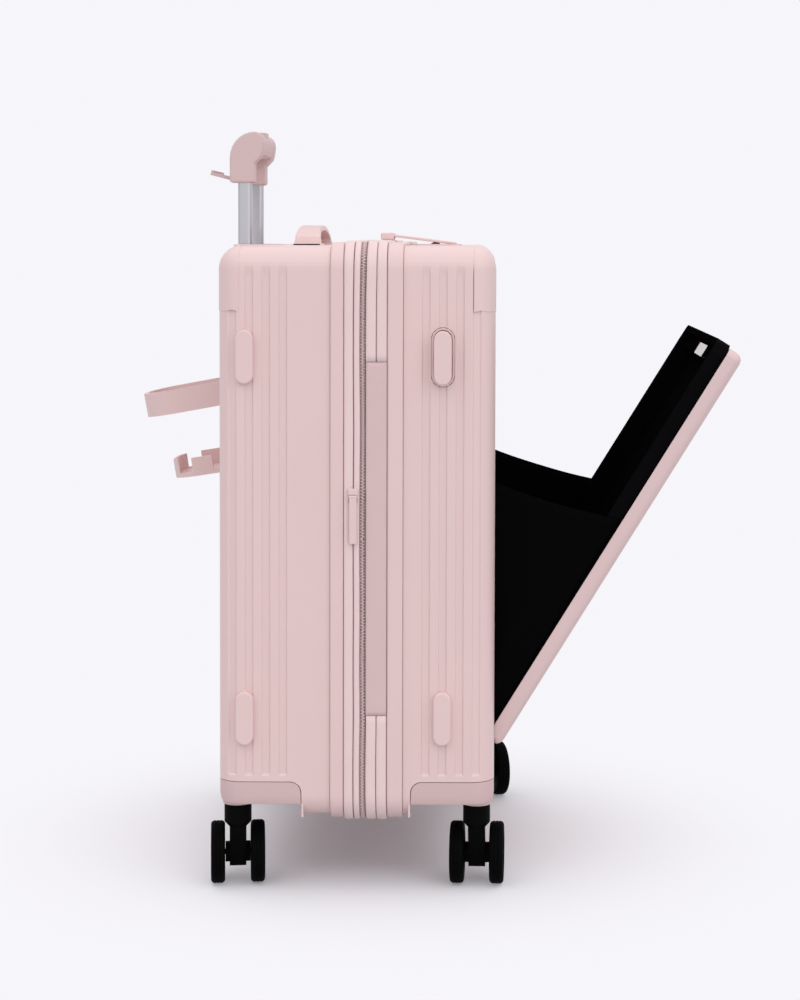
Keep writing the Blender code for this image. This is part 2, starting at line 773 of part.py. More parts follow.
def zip_bands():
    trim_finish(band("rear_rim", REAR_RIM_START, REAR_RIM_WIDTH, RIM_PROUD, RIM_THICKNESS))
    trim_finish(band("front_rim", FRONT_RIM_START, FRONT_RIM_WIDTH, RIM_PROUD, RIM_THICKNESS))
    fabric_finish(
        band("expansion_tape", EXPANSION_TAPE_START, EXPANSION_TAPE_WIDTH, TAPE_PROUD, TAPE_THICKNESS)
    )
    centre = band("centre_band", CENTRE_BAND_START, CENTRE_BAND_WIDTH, TAPE_PROUD, TAPE_THICKNESS)
    groove_start = CENTRE_BAND_START + EXPANSION_TAPE_WIDTH * 0.7
    groove = band("zip_groove", groove_start, GROOVE_WIDTH, TAPE_PROUD + 5 * MM, GROOVE_DEPTH + 5 * MM)
    cut(centre, groove)
    cut(centre, hinge_window("hinge_space_rear"))
    fabric_finish(centre)
    front = band("front_tape", FRONT_TAPE_START, FRONT_TAPE_WIDTH, TAPE_PROUD, TAPE_THICKNESS)
    cut(front, hinge_window("hinge_space_front"))
    fabric_finish(front)
    fold_start = EXPANSION_TAPE_START + MM
    fold_width = CENTRE_BAND_END - 2 * MM - fold_start
    fold_proud = TAPE_PROUD - TAPE_THICKNESS - GAP
    fabric_finish(band("expansion_fold", fold_start, fold_width, fold_proud, EXPANSION_FOLD_THICKNESS))


def fabric_hinge():
    middle = FRONT_TAPE_START - GAP / 2
    obj = block(
        "fabric_hinge",
        (middle - HINGE_WIDTH / 2, middle + HINGE_WIDTH / 2),
        (-HALF - TAPE_PROUD, -HALF - TAPE_PROUD + TAPE_THICKNESS - GAP),
        (HINGE_BOTTOM, HINGE_BOTTOM + HINGE_LENGTH),
    )
    return fabric_finish(obj)


def lining():
    """Fabric-covered liner of the packing space: it clears the tubes, bezel, sockets and housings."""
    obj = tub(
        "rear_lining",
        (TUBE_X + TUBE_DEPTH / 2 + TUBE_OUTER_GAP + GAP, REAR_SHELL_END - GAP),
        (-LINING_HALF, LINING_HALF),
        (HOUSING_TOP + GAP, SHELL_TOP - SOCKET_DEPTH - GAP),
        (1, 0, 0),
        6 * MM,
        LINING_WALL,
        segments=2,
    )
    notch = block(
        "lining_bezel_space",
        (X_BACK, BEZEL_FRONT + GAP),
        (-BEZEL_HALF - GAP, BEZEL_HALF + GAP),
        (BEZEL_FLOOR - GAP, SHELL_TOP),
    )
    cut(obj, notch)
    return cloth_finish(obj)


def trolley_tube(name, side, bottom, top, grow, parent):
    """A rounded box tube, open at both ends. grow is added all round the inner tube's size."""
    depth = TUBE_DEPTH / 2 + grow
    width = TUBE_WIDTH / 2 + grow
    y = side * TUBE_SPACING / 2
    obj = block(name, (TUBE_X - depth, TUBE_X + depth), (y - width, y + width), (bottom, top), parent)
    open_sides(obj, (0, 0, 1), (0, 0, -1))
    round_edges_along(obj, (0, 0, 1), TUBE_CORNER + grow, 3)
    thicken(obj, TUBE_WALL)
    smooth(obj)
    return metal_finish(obj)


def tube_space(name, side, bottom, top, grow):
    depth = TUBE_DEPTH / 2 + grow
    width = TUBE_WIDTH / 2 + grow
    y = side * TUBE_SPACING / 2
    obj = block(name, (TUBE_X - depth, TUBE_X + depth), (y - width, y + width), (bottom, top))
    round_edges_along(obj, (0, 0, 1), TUBE_CORNER + grow, 3)
    return obj


def trolley_fixed():
    outer_top = BEZEL_FLOOR - GAP
    tubes_bottom = TUBE_BRACKET_BOTTOM + TUBE_BRACKET_HEIGHT + GAP
    for name, side in (("outer_tube_near", -1), ("outer_tube_far", 1)):
        trolley_tube(name, side, tubes_bottom, outer_top, TUBE_OUTER_GAP, CASE)
    bracket_half = TUBE_SPACING / 2 + TUBE_WIDTH / 2 + 6 * MM
    bracket = block(
        "tube_bracket",
        (X_BACK + SHELL_WALL + GAP, TUBE_X + TUBE_DEPTH / 2 + TUBE_OUTER_GAP),
        (-bracket_half, bracket_half),
        (TUBE_BRACKET_BOTTOM, TUBE_BRACKET_BOTTOM + TUBE_BRACKET_HEIGHT),
        bevel=1.5 * MM,
        segments=1,
    )
    black_finish(bracket)
    bezel = block(
        "trolley_bezel", (X_BACK, BEZEL_FRONT), (-BEZEL_HALF, BEZEL_HALF), (BEZEL_FLOOR, SHELL_TOP + 0.5 * MM)
    )
    pocket = block(
        "bezel_pocket",
        (X_BACK - 5 * MM, BEZEL_FRONT - BEZEL_WALL),
        (-BEZEL_HALF + BEZEL_WALL, BEZEL_HALF - BEZEL_WALL),
        (BEZEL_FLOOR + BEZEL_WALL, SHELL_TOP + 5 * MM),
    )
    cut(bezel, pocket)
    for side in (-1, 1):
        cut(bezel, tube_space("bezel_bore", side, BEZEL_FLOOR - 5 * MM, BEZEL_FLOOR + 8 * MM, GAP))
    trim_finish(bezel)


def grip_outline():
    """Side outline of a grip cheek: upright back, rounded shoulder, and a bulge to the front."""
    depth = GRIP_LEG_DEPTH
    height = GRIP_HEIGHT
    bulge_height = height * 0.8
    points = [(depth, 0), (depth, height * 0.38)]
    points += arc((depth, bulge_height), (GRIP_BULGE, height * 0.42), -62, -8, 3)[1:]
    points += arc((depth, bulge_height), (GRIP_BULGE, height - bulge_height), 0, 90, 4)
    points += arc((depth, height * 0.48), (depth, height * 0.52), 90, 180, 7)[1:]
    points.append((0, 0))
    return points


def grip_bar_outline():
    """Section of the bar between the cheeks: its back slopes, for a phone to lean on."""
    low = GRIP_BAR_UNDERSIDE
    depth = GRIP_LEG_DEPTH
    height = GRIP_HEIGHT
    bulge_height = height * 0.8
    points = [(depth * 0.3, low), (depth * 1.02, low)]
    points += arc((depth, bulge_height), (GRIP_BULGE - 0.4 * MM, height * 0.3), -50, -8, 2)
    points += arc((depth, bulge_height), (GRIP_BULGE - 0.4 * MM, height * 0.19), 0, 90, 3)
    points.append((depth * 0.86, height * 0.93))
    return points


def trolley_moving(trolley):
    inner_top = GRIP_BOTTOM + GRIP_SOCKET_DEPTH - GAP
    for name, side in (("inner_tube_near", -1), ("inner_tube_far", 1)):
        trolley_tube(name, side, BEZEL_FLOOR - INNER_TUBE_OVERLAP, inner_top, 0, trolley)
    inner_face = TUBE_SPACING / 2 - GRIP_LEG_WIDTH / 2
    grip = plate(
        "grip", grip_bar_outline(), (GRIP_BACK, 0, GRIP_BOTTOM), 2 * (inner_face + 3 * MM), "XZ", trolley
    )
    for side in (-1, 1):
        y = side * TUBE_SPACING / 2
        cheek = plate("grip_cheek", grip_outline(), (GRIP_BACK, y, GRIP_BOTTOM), GRIP_LEG_WIDTH, "XZ")
        soften(cheek, 2.2 * MM, 2)
        join(grip, cheek)
        socket = tube_space("grip_socket", side, GRIP_BOTTOM - 5 * MM, GRIP_BOTTOM + GRIP_SOCKET_DEPTH, GAP)
        cut(grip, socket)
    cut(grip, button_form("button_space", GAP, BUTTON_TRAVEL + GAP))
    hole_length = 2 * (inner_face + 4 * MM)
    pin_hole = rod("rest_bore", rest_axis(), (0, 1, 0), REST_PIN_RADIUS + GAP, hole_length, steps=10)
    cut(grip, pin_hole)
    trim_finish(grip)


def button_form(name, clearance, below, parent=CASE):
    x = GRIP_BACK + GRIP_LEG_DEPTH + 1.2 * MM
    half = BUTTON_WIDTH / 2 + clearance
    length = BUTTON_LENGTH / 2 + clearance
    top = GRIP_BOTTOM + GRIP_HEIGHT * 0.99 + BUTTON_PROUD + (8 * MM if clearance else 0)
    bottom = GRIP_BOTTOM + GRIP_HEIGHT - 7 * MM - below
    obj = block(name, (x - half, x + half), (-length, length), (bottom, top), parent)
    round_edges_along(obj, (0, 0, 1), half * 0.7, 3)
    return obj


def rest_axis():
    return (GRIP_BACK + 4 * MM, 0, GRIP_BOTTOM + 3.4 * MM)


def phone_rest(parent):
    """Flap that carries a phone's lower edge, on two short pins between the cheeks."""
    half = TUBE_SPACING / 2 - GRIP_LEG_WIDTH / 2 - GAP
    obj = rod("phone_rest", rest_axis(), (0, 1, 0), REST_BARREL_RADIUS, 2 * half, parent, steps=12)
    x, _, z = rest_axis()
    low = z - REST_BARREL_RADIUS + 0.1 * MM
    flap = block("rest_flap", (x - REST_LENGTH, x - MM), (-half + MM, half - MM), (low, low + REST_THICKNESS))
    lip = block(
        "rest_lip",
        (x - REST_LENGTH, x - REST_LENGTH + 2 * MM),
        (-half + MM, half - MM),
        (low + MM, low + REST_THICKNESS + 1.6 * MM),
    )
    join(obj, carried(flap, parent))
    join(obj, carried(lip, parent))
    pin = rod("rest_pin", rest_axis(), (0, 1, 0), REST_PIN_RADIUS, 2 * (half + 3 * MM), steps=10)
    join(obj, carried(pin, parent))
    return trim_finish(obj)


def carried(tool, parent):
    """Puts a tool under the same axis empty as the piece it shapes, so that it turns with it."""
    place = Vector(tool.parent["place"]) + Vector(tool.location)
    tool.parent = parent
    tool.location = place - Vector(parent["place"])
    return tool


def socket_block(name, side, clearance):
    half = CARRY_WIDTH / 2 + SOCKET_MARGIN + clearance
    y = side * CARRY_SPAN / 2
    reach = SOCKET_LENGTH / 2 + clearance
    extra = 5 * MM if clearance else 0
    return block(
        name,
        (CARRY_X - half, CARRY_X + half),
        (y - reach, y + reach),
        (SHELL_TOP - SOCKET_DEPTH - extra, SHELL_TOP + SOCKET_PROUD + extra),
        bevel=0 if clearance else 1.5 * MM,
        segments=2,
    )


def carry_outline():
    """Arch of the carry handle in its own plane, with an upright tang at each end."""
    half = CARRY_SPAN / 2
    base = CARRY_BASE
    crown = SHELL_TOP + CARRY_RISE
    steps = 12
    power = 2.5
    middle = []
    for i in range(steps + 1):
        angle = math.pi * i / steps
        y = half * math.copysign(abs(math.cos(angle)) ** (2 / power), math.cos(angle))
        z = base + (crown - CARRY_THICKNESS / 2 - base) * math.sin(angle) ** (2 / power)
        middle.append(Vector((y, z)))
    outer, inner = [], []
    for i, point in enumerate(middle):
        ahead = middle[min(i + 1, steps)] - middle[max(i - 1, 0)]
        normal = Vector((ahead.y, -ahead.x)).normalized() * CARRY_THICKNESS / 2
        outer.append(point + normal)
        inner.append(point - normal)
    foot = base - CARRY_TANG
    reach = CARRY_THICKNESS / 2
    outer[0] = Vector((half + reach, base))
    outer[-1] = Vector((-half - reach, base))
    inner[0] = Vector((half - reach, base))
    inner[-1] = Vector((-half + reach, base))
    loop = [(half + reach, foot)] + [tuple(p) for p in outer] + [(-half - reach, foot), (-half + reach, foot)]
    loop += [tuple(p) for p in reversed(inner)] + [(half - reach, foot)]
    return loop


def narrow_upwards(obj, start, end, share):
    """Draws a plate in along X from the height start, to share of its width at the height end."""
    for vertex in obj.data.vertices:
        part = min(max((vertex.co.z - start) / (end - start), 0), 1)
        vertex.co.x *= 1 + (share - 1) * part


def carry_handle():
    parent = axis_empty("carry_handle_slide", (CARRY_X, 0, SHELL_TOP), CASE)
    obj = plate("carry_handle", carry_outline(), (CARRY_X, 0, 0), CARRY_WIDTH, "YZ", parent)
    narrow_upwards(obj, CARRY_BASE, SHELL_TOP + CARRY_RISE, CARRY_CROWN_WIDTH / CARRY_WIDTH)
    trim_finish(obj)
    for name, side in (("carry_socket_near", -1), ("carry_socket_far", 1)):
        socket = socket_block(name, side, 0)
        y = side * CARRY_SPAN / 2
        half = CARRY_WIDTH / 2 + GAP
        reach = CARRY_THICKNESS / 2 + GAP
        slot = block(
            name + "_slot",
            (CARRY_X - half, CARRY_X + half),
            (y - reach, y + reach),
            (CARRY_BASE - CARRY_TANG - GAP, SHELL_TOP + 20 * MM),
        )
        cut(socket, slot)
        trim_finish(socket)


def cup_plate():
    lug_half = RING_WIDTH / 2 + GAP + CUP_LUG_THICKNESS
    obj = block(
        "cup_plate",
        (CUP_PLATE_FACE, X_BACK - GAP),
        (-lug_half, lug_half),
        (CUP_PLATE_BOTTOM, CUP_PLATE_BOTTOM + CUP_PLATE_HEIGHT),
    )
    lugs = []
    for z, width in ((RING_HINGE_Z, RING_WIDTH), (TRAY_HINGE_Z, TRAY_WIDTH)):
        for side in (-1, 1):
            y = side * (width / 2 + GAP + CUP_LUG_THICKNESS / 2)
            outline = [(BITE, -5 * MM), (BITE, 5 * MM)]
            outline += arc((-CUP_HINGE_OFF, 0), (CUP_LUG_REACH - CUP_HINGE_OFF, 4 * MM), 90, 270, 5)
            lugs.append(plate("lug", outline, (CUP_PLATE_FACE, y, z), CUP_LUG_THICKNESS, "XZ"))
    join(obj, one_mesh("cup_lugs", lugs))
    bores = []
    for z, width in ((RING_HINGE_Z, RING_WIDTH), (TRAY_HINGE_Z, TRAY_WIDTH)):
        reach = width + 2 * CUP_LUG_THICKNESS + 4 * MM
        bores.append(rod("lug_bore", (CUP_HINGE_X, 0, z), (0, 1, 0), CUP_PIN_RADIUS + GAP, reach, steps=10))
    cut(obj, one_mesh("cup_bores", bores))
    return trim_finish(obj)


def cup_ring():
    """Band that holds a bottle: it hangs out from its hinge, sloping down, and folds up."""
    parent = axis_empty(
        "cup_ring_hinge", (CUP_HINGE_X, 0, RING_HINGE_Z), CASE, (0, -math.radians(RING_TILT), 0)
    )
    top = RING_HINGE_Z + CUP_PIN_RADIUS + 0.6 * MM
    inner = CUP_HINGE_X + RING_WALL / 2 - 0.2 * MM
    obj = block(
        "cup_ring",
        (inner - RING_LENGTH, inner),
        (-RING_WIDTH / 2, RING_WIDTH / 2),
        (top - RING_HEIGHT, top),
        parent,
    )
    open_sides(obj, (0, 0, 1), (0, 0, -1))
    round_end(obj, -1, RING_CORNER, 6)
    thicken(obj, RING_WALL)
    smooth(obj)
    seat = block(
        "ring_seat",
        (CUP_PLATE_FACE - GAP, CUP_PLATE_FACE + 2 * RING_WALL),
        (-RING_WIDTH, RING_WIDTH),
        (RING_HINGE_Z - 2 * RING_HEIGHT, RING_HINGE_Z + RING_HEIGHT),
    )
    cut(obj, seat)
    reach = RING_WIDTH + 2 * GAP + 2 * CUP_LUG_THICKNESS
    pin = rod("ring_pin", (CUP_HINGE_X, 0, RING_HINGE_Z), (0, 1, 0), CUP_PIN_RADIUS, reach, steps=10)
    join(obj, carried(pin, parent))
    return trim_finish(obj)


def round_end(obj, end, radius, segments):
    """Rounds the upright edges at one end of a box along X."""
    work = bmesh.new()
    work.from_mesh(obj.data)
    chosen = []
    for edge in work.edges:
        line = edge.verts[1].co - edge.verts[0].co
        if abs(line.normalized().z) > 0.99 and edge.verts[0].co.x * end > 0:
            chosen.append(edge)
    bmesh.ops.bevel(work, geom=chosen, offset=radius, segments=segments, profile=0.5, affect="EDGES")
    work.to_mesh(obj.data)
    work.free()


def cup_tray():
    """Tray under the bottle: walled at its outer end, with a notch in each side wall."""
    parent = axis_empty(
        "cup_tray_hinge", (CUP_HINGE_X, 0, TRAY_HINGE_Z), CASE, (0, -math.radians(TRAY_TILT), 0)
    )
    floor = TRAY_HINGE_Z - TRAY_WALL / 2
    inner = CUP_HINGE_X + TRAY_WALL / 2
    outer = inner - TRAY_LENGTH - TRAY_WALL / 2
    half = TRAY_WIDTH / 2
    obj = block("cup_tray", (outer, inner), (-half, half), (floor, floor + TRAY_HEIGHT), parent)
    round_end(obj, -1, TRAY_CORNER, 5)
    hollow = block(
        "tray_hollow",
        (outer + TRAY_WALL, inner - TRAY_OPEN_END),
        (-TRAY_WIDTH / 2 + TRAY_WALL, TRAY_WIDTH / 2 - TRAY_WALL),
        (floor + TRAY_WALL, floor + 2 * TRAY_HEIGHT),
    )
    round_end(hollow, -1, TRAY_CORNER - TRAY_WALL, 5)
    cut(obj, carried(hollow, parent))
    low_end = block(
        "tray_low_end",
        (inner - TRAY_OPEN_END - MM, inner + 5 * MM),
        (-TRAY_WIDTH, TRAY_WIDTH),
        (floor + TRAY_WALL, floor + 2 * TRAY_HEIGHT),
    )
    cut(obj, carried(low_end, parent))
    notch_end = inner - TRAY_NOTCH_START
    notch = block(
        "tray_notch",
        (notch_end - TRAY_NOTCH, notch_end),
        (-TRAY_WIDTH, TRAY_WIDTH),
        (floor + TRAY_WALL + MM, floor + 2 * TRAY_HEIGHT),
    )
    cut(obj, carried(notch, parent))
    reach = TRAY_WIDTH + 2 * GAP + 2 * CUP_LUG_THICKNESS
    pin = rod("tray_pin", (CUP_HINGE_X, 0, TRAY_HINGE_Z), (0, 1, 0), CUP_PIN_RADIUS, reach, steps=10)
    join(obj, carried(pin, parent))
    return trim_finish(obj)


def laptop_box():
    """Walled compartment behind the door; the door's pin runs between its side walls."""
    obj = tub(
        "laptop_box",
        (BOX_FRONT - BOX_DEPTH, BOX_FRONT),
        (-BOX_HALF, BOX_HALF),
        (DOOR_PIN[1] - BOX_BELOW_PIN, OPENING_TOP + BOX_HEAD),
        (1, 0, 0),
        BOX_CORNER,
        BOX_WALL,
        segments=2,
    )
    middle = (DOOR_PIN[0], 0, DOOR_PIN[1])
    length = 2 * BOX_HALF
    bore = rod("door_pin_bore", middle, (0, 1, 0), DOOR_PIN_RADIUS + GAP, length + 10 * MM, steps=12)
    cut(obj, bore)
    cloth_finish(obj)
    pin = rod("door_pin", middle, (0, 1, 0), DOOR_PIN_RADIUS, length, steps=12)
    return metal_finish(pin)


def door(parent):
    shell = tub(
        "door_shell",
        (DOOR_BACK, DOOR_FACE),
        (-DOOR_HALF, DOOR_HALF),
        (DOOR_BOTTOM, DOOR_TOP),
        (-1, 0, 0),
        DOOR_CORNER,
        DOOR_WALL,
        segments=3,
        parent=parent,
    )
    first = -DOOR_FLUTE_PITCH * (DOOR_FLUTE_COUNT - 1) / 2
    places = [((DOOR_FACE, first + i * DOOR_FLUTE_PITCH), (1, 0)) for i in range(DOOR_FLUTE_COUNT)]
    ends = (DOOR_BOTTOM + 2 * DOOR_CORNER, DOOR_TOP - 2 * DOOR_CORNER)
    press_flutes(shell, places, DOOR_WALL, ends, ends[1] + DOOR_WALL, parent)
    shell_finish(shell)
    frame_bottom = DOOR_BOTTOM + FRAME_INSET
    frame_top = DOOR_TOP - FRAME_INSET
    frame = block(
        "door_frame", (FRAME_BACK, FRAME_FRONT), (-FRAME_HALF, FRAME_HALF), (frame_bottom, frame_top), parent
    )
    round_edges_along(frame, (1, 0, 0), 5 * MM, 2)
    pocket = block(
        "door_pocket",
        (FRAME_BACK - 5 * MM, FRAME_FRONT - FRAME_PANEL),
        (-FRAME_HALF + FRAME_BORDER, FRAME_HALF - FRAME_BORDER),
        (frame_bottom + FRAME_BORDER, frame_top - FRAME_BORDER),
    )
    cut(frame, carried(pocket, parent))
    join(frame, carried(hinge_arms(frame_bottom), parent))
    join(frame, carried(top_rail(frame_top), parent))
    cut(frame, carried(latch_shelf(frame_top), parent))
    bore_length = ARM_SPACING + 4 * ARM_THICKNESS
    bore = rod(
        "arm_bore", (DOOR_PIN[0], 0, DOOR_PIN[1]), (0, 1, 0), DOOR_PIN_RADIUS + GAP, bore_length, steps=12
    )
    cut(frame, carried(bore, parent))
    cut(frame, carried(latch_form("latch_space", GAP, LATCH_TRAVEL + GAP, CASE), parent))
    black_finish(frame)
    return metal_finish(latch_form("door_latch", 0, 0, parent))


def hinge_arms(frame_bottom):
    """Two arms from the door frame's lower edge down to the pin, kept inside the opening."""
    x, z = DOOR_PIN
    front = DOOR_BACK - 2 * GAP
    back = front - ARM_DEPTH
    radius = ARM_BOSS_RADIUS
    outline = [(FRAME_BACK + 2 * MM, frame_bottom + 12 * MM), (back, frame_bottom + 4 * MM)]
    outline.append((back, z + 10 * MM))
    outline += arc((x, z), (radius, radius), 200, 400, 7)
    outline += [(front, z + 11 * MM), (front, frame_bottom + 4 * MM)]
    arms = [
        plate("arm", outline, (0, side * ARM_SPACING / 2, 0), ARM_THICKNESS, "XZ") for side in (-1, 1)
    ]
    return one_mesh("hinge_arms", arms)


def top_rail(frame_top):
    """Rail of the door frame that rises behind the door shell's rim."""
    rail = block(
        "rail",
        (FRAME_BACK, DOOR_BACK - GAP),
        (-RAIL_HALF, RAIL_HALF),
        (frame_top - FRAME_BORDER / 2, RAIL_TOP),
    )
    round_top(rail, RAIL_CORNER)
    return rail


def latch_shelf(frame_top):
    """Step in the frame's inner side that the latch plate lies on."""
    half = FRAME_HALF - FRAME_BORDER
    return block(
        "latch_shelf",
        (FRAME_BACK - 5 * MM, LATCH_FACE),
        (-half, half),
        (frame_top - FRAME_BORDER - BITE, LATCH_TOP + LATCH_LEDGE),
    )


def round_top(obj, radius):
    """Rounds a box's two upper corners, as seen along X."""
    work = bmesh.new()
    work.from_mesh(obj.data)
    chosen = [
        edge
        for edge in work.edges
        if abs((edge.verts[1].co - edge.verts[0].co).normalized().x) > 0.99 and edge.verts[0].co.z > 0
    ]
    bmesh.ops.bevel(work, geom=chosen, offset=radius, segments=3, profile=0.5, affect="EDGES")
    work.to_mesh(obj.data)
    work.free()


def latch_form(name, clearance, below, parent):
    """The latch plate, or with a clearance the slot that it slides in."""
    width = LATCH_WIDTH / 2 + clearance
    extra = 5 * MM if clearance else 0
    return block(
        name,
        (LATCH_FACE - LATCH_PROUD - extra, LATCH_FACE + LATCH_DEPTH + clearance),
        (LATCH_Y - width, LATCH_Y + width),
        (LATCH_TOP - LATCH_TALL - below, LATCH_TOP + clearance),
        parent,
    )


def gusset(name, side):
    """Fabric panel that stops the door: four-sided, from near the pin to the case and the door."""
    x, z = DOOR_PIN
    thickness = OPENING_HALF - FRAME_HALF - 2 * GAP
    middle = side * (OPENING_HALF + FRAME_HALF) / 2
    door_line = math.radians(90 - DOOR_OPEN)
    normal = Vector((math.sin(door_line), -math.cos(door_line)))
    along = Vector((math.cos(door_line), math.sin(door_line)))
    off_door = normal * ((DOOR_BACK - MM) - DOOR_PIN[0])
    inside_case = -8 * MM
    outline = [
        along * GUSSET_START + off_door,
        along * GUSSET_DOOR_REACH + off_door,
        Vector((inside_case, GUSSET_CASE_REACH)),
        Vector((inside_case, GUSSET_START)),
    ]
    obj = plate(name, [tuple(p) for p in outline], (x, middle, z), thickness, "XZ")
    return cloth_finish(obj)


def hook_form(name, margin, depth, floor):
    """A capsule-shaped solid set into the near side at the bag hook's place."""
    x = X_FRONT - FRONT_FOOT_INSET
    outline = capsule(FOOT_WIDTH + 2 * margin, FOOT_LENGTH + 2 * margin)
    near = -HALF - HOOK_SOCKET_PROUD - floor
    return plate(name, outline, (x, near + depth / 2, UPPER_FOOT_Z), depth, "XZ")


def bag_hook():
    x = X_FRONT - FRONT_FOOT_INSET
    socket = hook_form("hook_socket", HOOK_SOCKET_LIP, HOOK_SOCKET_DEPTH, 0)
    cut(socket, hook_form("hook_pocket", 0.5 * MM, HOOK_SOCKET_DEPTH - HOOK_SOCKET_FLOOR + 5 * MM, 5 * MM))
    bore = rod(
        "hook_bore",
        (x, -HALF, UPPER_FOOT_Z),
        (0, 1, 0),
        HOOK_STEM_RADIUS + GAP,
        4 * HOOK_SOCKET_DEPTH,
        steps=16,
    )
    cut(socket, bore)
    trim_finish(socket)
    parent = axis_empty("bag_hook_slide", (x, -HALF - HOOK_OUT, UPPER_FOOT_Z), CASE)
    middle = -HALF - HOOK_OUT + HOOK_PLATE / 2
    outline = capsule(FOOT_WIDTH, FOOT_LENGTH)
    hook = plate("bag_hook", outline, (x, middle, UPPER_FOOT_Z), HOOK_PLATE, "XZ", parent)
    soften(hook, 0.8 * MM, 1)
    stem_start = -HALF - HOOK_OUT + HOOK_PLATE - BITE
    stem_end = -HALF - HOOK_SOCKET_PROUD + HOOK_SOCKET_DEPTH + 2 * MM
    stem_middle, stem_length = span(stem_start, stem_end)
    stem_place = (x, stem_middle, UPPER_FOOT_Z)
    stem = rod("hook_stem", stem_place, (0, 1, 0), HOOK_STEM_RADIUS, stem_length, steps=16)
    join(hook, carried(stem, parent))
    trim_finish(hook)


def lock_form(name, clearance):
    half = LOCK_WIDTH / 2 + clearance
    extra = 5 * MM if clearance else 0
    obj = block(
        name,
        (LOCK_START - clearance, LOCK_START + LOCK_LENGTH + clearance),
        (LOCK_OFFSET - half, LOCK_OFFSET + half),
        (LOCK_TOP - LOCK_DEPTH - extra, LOCK_TOP + extra),
    )
    round_edges_along(obj, (0, 0, 1), LOCK_CORNER + clearance, 3)
    return obj


def dial_places():
    x = LOCK_START + LOCK_LENGTH * 0.42
    z = LOCK_TOP + 2.0 * MM - DIAL_RADIUS
    first = LOCK_OFFSET + LOCK_WIDTH * 0.14
    return [(x, first + i * DIAL_PITCH, z) for i in range(3)]


def lock():
    body = lock_form("lock_body", 0)
    recess = block(
        "lock_recess",
        (LOCK_START + LOCK_LENGTH * 0.15, LOCK_START + LOCK_LENGTH * 0.94),
        (-TAB_SPREAD / 2 - TAB_WIDTH / 2 - MM, TAB_SPREAD / 2 + TAB_WIDTH / 2 + MM),
        (LOCK_TOP - LOCK_RECESS, LOCK_TOP + 5 * MM),
    )
    cut(body, recess)
    places = dial_places()
    x, first, z = places[0]
    last = places[-1][1]
    margin = DIAL_WIDTH / 2 + 0.5 * MM
    reach = DIAL_RADIUS + 0.4 * MM
    slot = block(
        "dial_slot",
        (x - reach, x + reach),
        (first - margin, last + margin),
        (z - reach, LOCK_TOP + 5 * MM),
    )
    cut(body, slot)
    axle_length = last - first + 2 * margin + 2 * MM
    axle = rod("dial_axle", (x, (first + last) / 2, z), (0, 1, 0), DIAL_AXLE_RADIUS, axle_length, steps=8)
    join(body, axle)
    button_x = LOCK_START + LOCK_LENGTH * 0.72
    button_y = last + margin + LOCK_BUTTON * 0.75
    pocket = block(
        "lock_button_space",
        (button_x - LOCK_BUTTON_TRAVEL - GAP, button_x + LOCK_BUTTON + GAP),
        (button_y - LOCK_BUTTON / 2 - GAP, button_y + LOCK_BUTTON / 2 + GAP),
        (LOCK_TOP - 3 * MM, LOCK_TOP + 5 * MM),
    )
    cut(body, pocket)
    trim_finish(body)
    profile = [
        (DIAL_AXLE_RADIUS + GAP, DIAL_WIDTH / 2),
        (DIAL_RADIUS - 0.5 * MM, DIAL_WIDTH / 2),
        (DIAL_RADIUS, DIAL_WIDTH / 2 - 0.5 * MM),
        (DIAL_RADIUS, -DIAL_WIDTH / 2 + 0.5 * MM),
        (DIAL_RADIUS - 0.5 * MM, -DIAL_WIDTH / 2),
        (DIAL_AXLE_RADIUS + GAP, -DIAL_WIDTH / 2),
    ]
    for i, place in enumerate(places):
        black_finish(turned(f"lock_dial_{i + 1}", profile, place, (0, 1, 0), CASE, steps=14))
    button = block(
        "lock_button",
        (button_x, button_x + LOCK_BUTTON),
        (button_y - LOCK_BUTTON / 2, button_y + LOCK_BUTTON / 2),
        (LOCK_TOP - 3 * MM + GAP, LOCK_TOP + 1.2 * MM),
        bevel=0.6 * MM,
        segments=1,
    )
    black_finish(button)


def zip_sliders():
    """The two sliders of the main zip, met head to head, with a seat for each pull tab."""
    start = TAB_PIVOT[0] - SLIDER_LENGTH + 2.6 * MM
    base = TAPE_TOP + GAP
    obj = block(
        "zip_sliders",
        (start, start + SLIDER_LENGTH),
        (-SLIDER_WIDTH / 2, SLIDER_WIDTH / 2),
        (base, base + SLIDER_HEIGHT),
        bevel=1.4 * MM,
        segments=2,
    )
    seats = []
    radius = TAB_BARREL_RADIUS + GAP
    for side in (-1, 1):
        y = side * TAB_SPREAD / 2
        half = TAB_WIDTH / 2 + GAP
        seats.append(
            block(
                "tab_seat",
                (TAB_PIVOT[0] - radius, start + SLIDER_LENGTH + 5 * MM),
                (y - half, y + half),
                (TAB_PIVOT[1] - radius, base + SLIDER_HEIGHT + 5 * MM),
            )
        )
    cut(obj, one_mesh("tab_seats", seats))
    metal_finish(obj)
    for name, side in (("pull_tab_near", -1), ("pull_tab_far", 1)):
        pull_tab(name, side * TAB_SPREAD / 2)


def pull_tab(name, y):
    place = (TAB_PIVOT[0], y, TAB_PIVOT[1])
    parent = axis_empty(name + "_hinge", place, CASE, (0, math.radians(TAB_DROP), 0))
    obj = rod(name, place, (0, 1, 0), TAB_BARREL_RADIUS, TAB_WIDTH, parent, steps=12)
    top = TAB_PIVOT[1] + TAB_BARREL_RADIUS - 0.1 * MM
    blade = block(
        name + "_blade",
        (TAB_PIVOT[0] + 0.4 * MM, TAB_PIVOT[0] + TAB_LENGTH),
        (y - TAB_WIDTH / 2 + 0.2 * MM, y + TAB_WIDTH / 2 - 0.2 * MM),
        (top - TAB_THICKNESS, top),
        bevel=0.5 * MM,
        segments=1,
    )
    join(obj, carried(blade, parent))
    return trim_finish(obj)


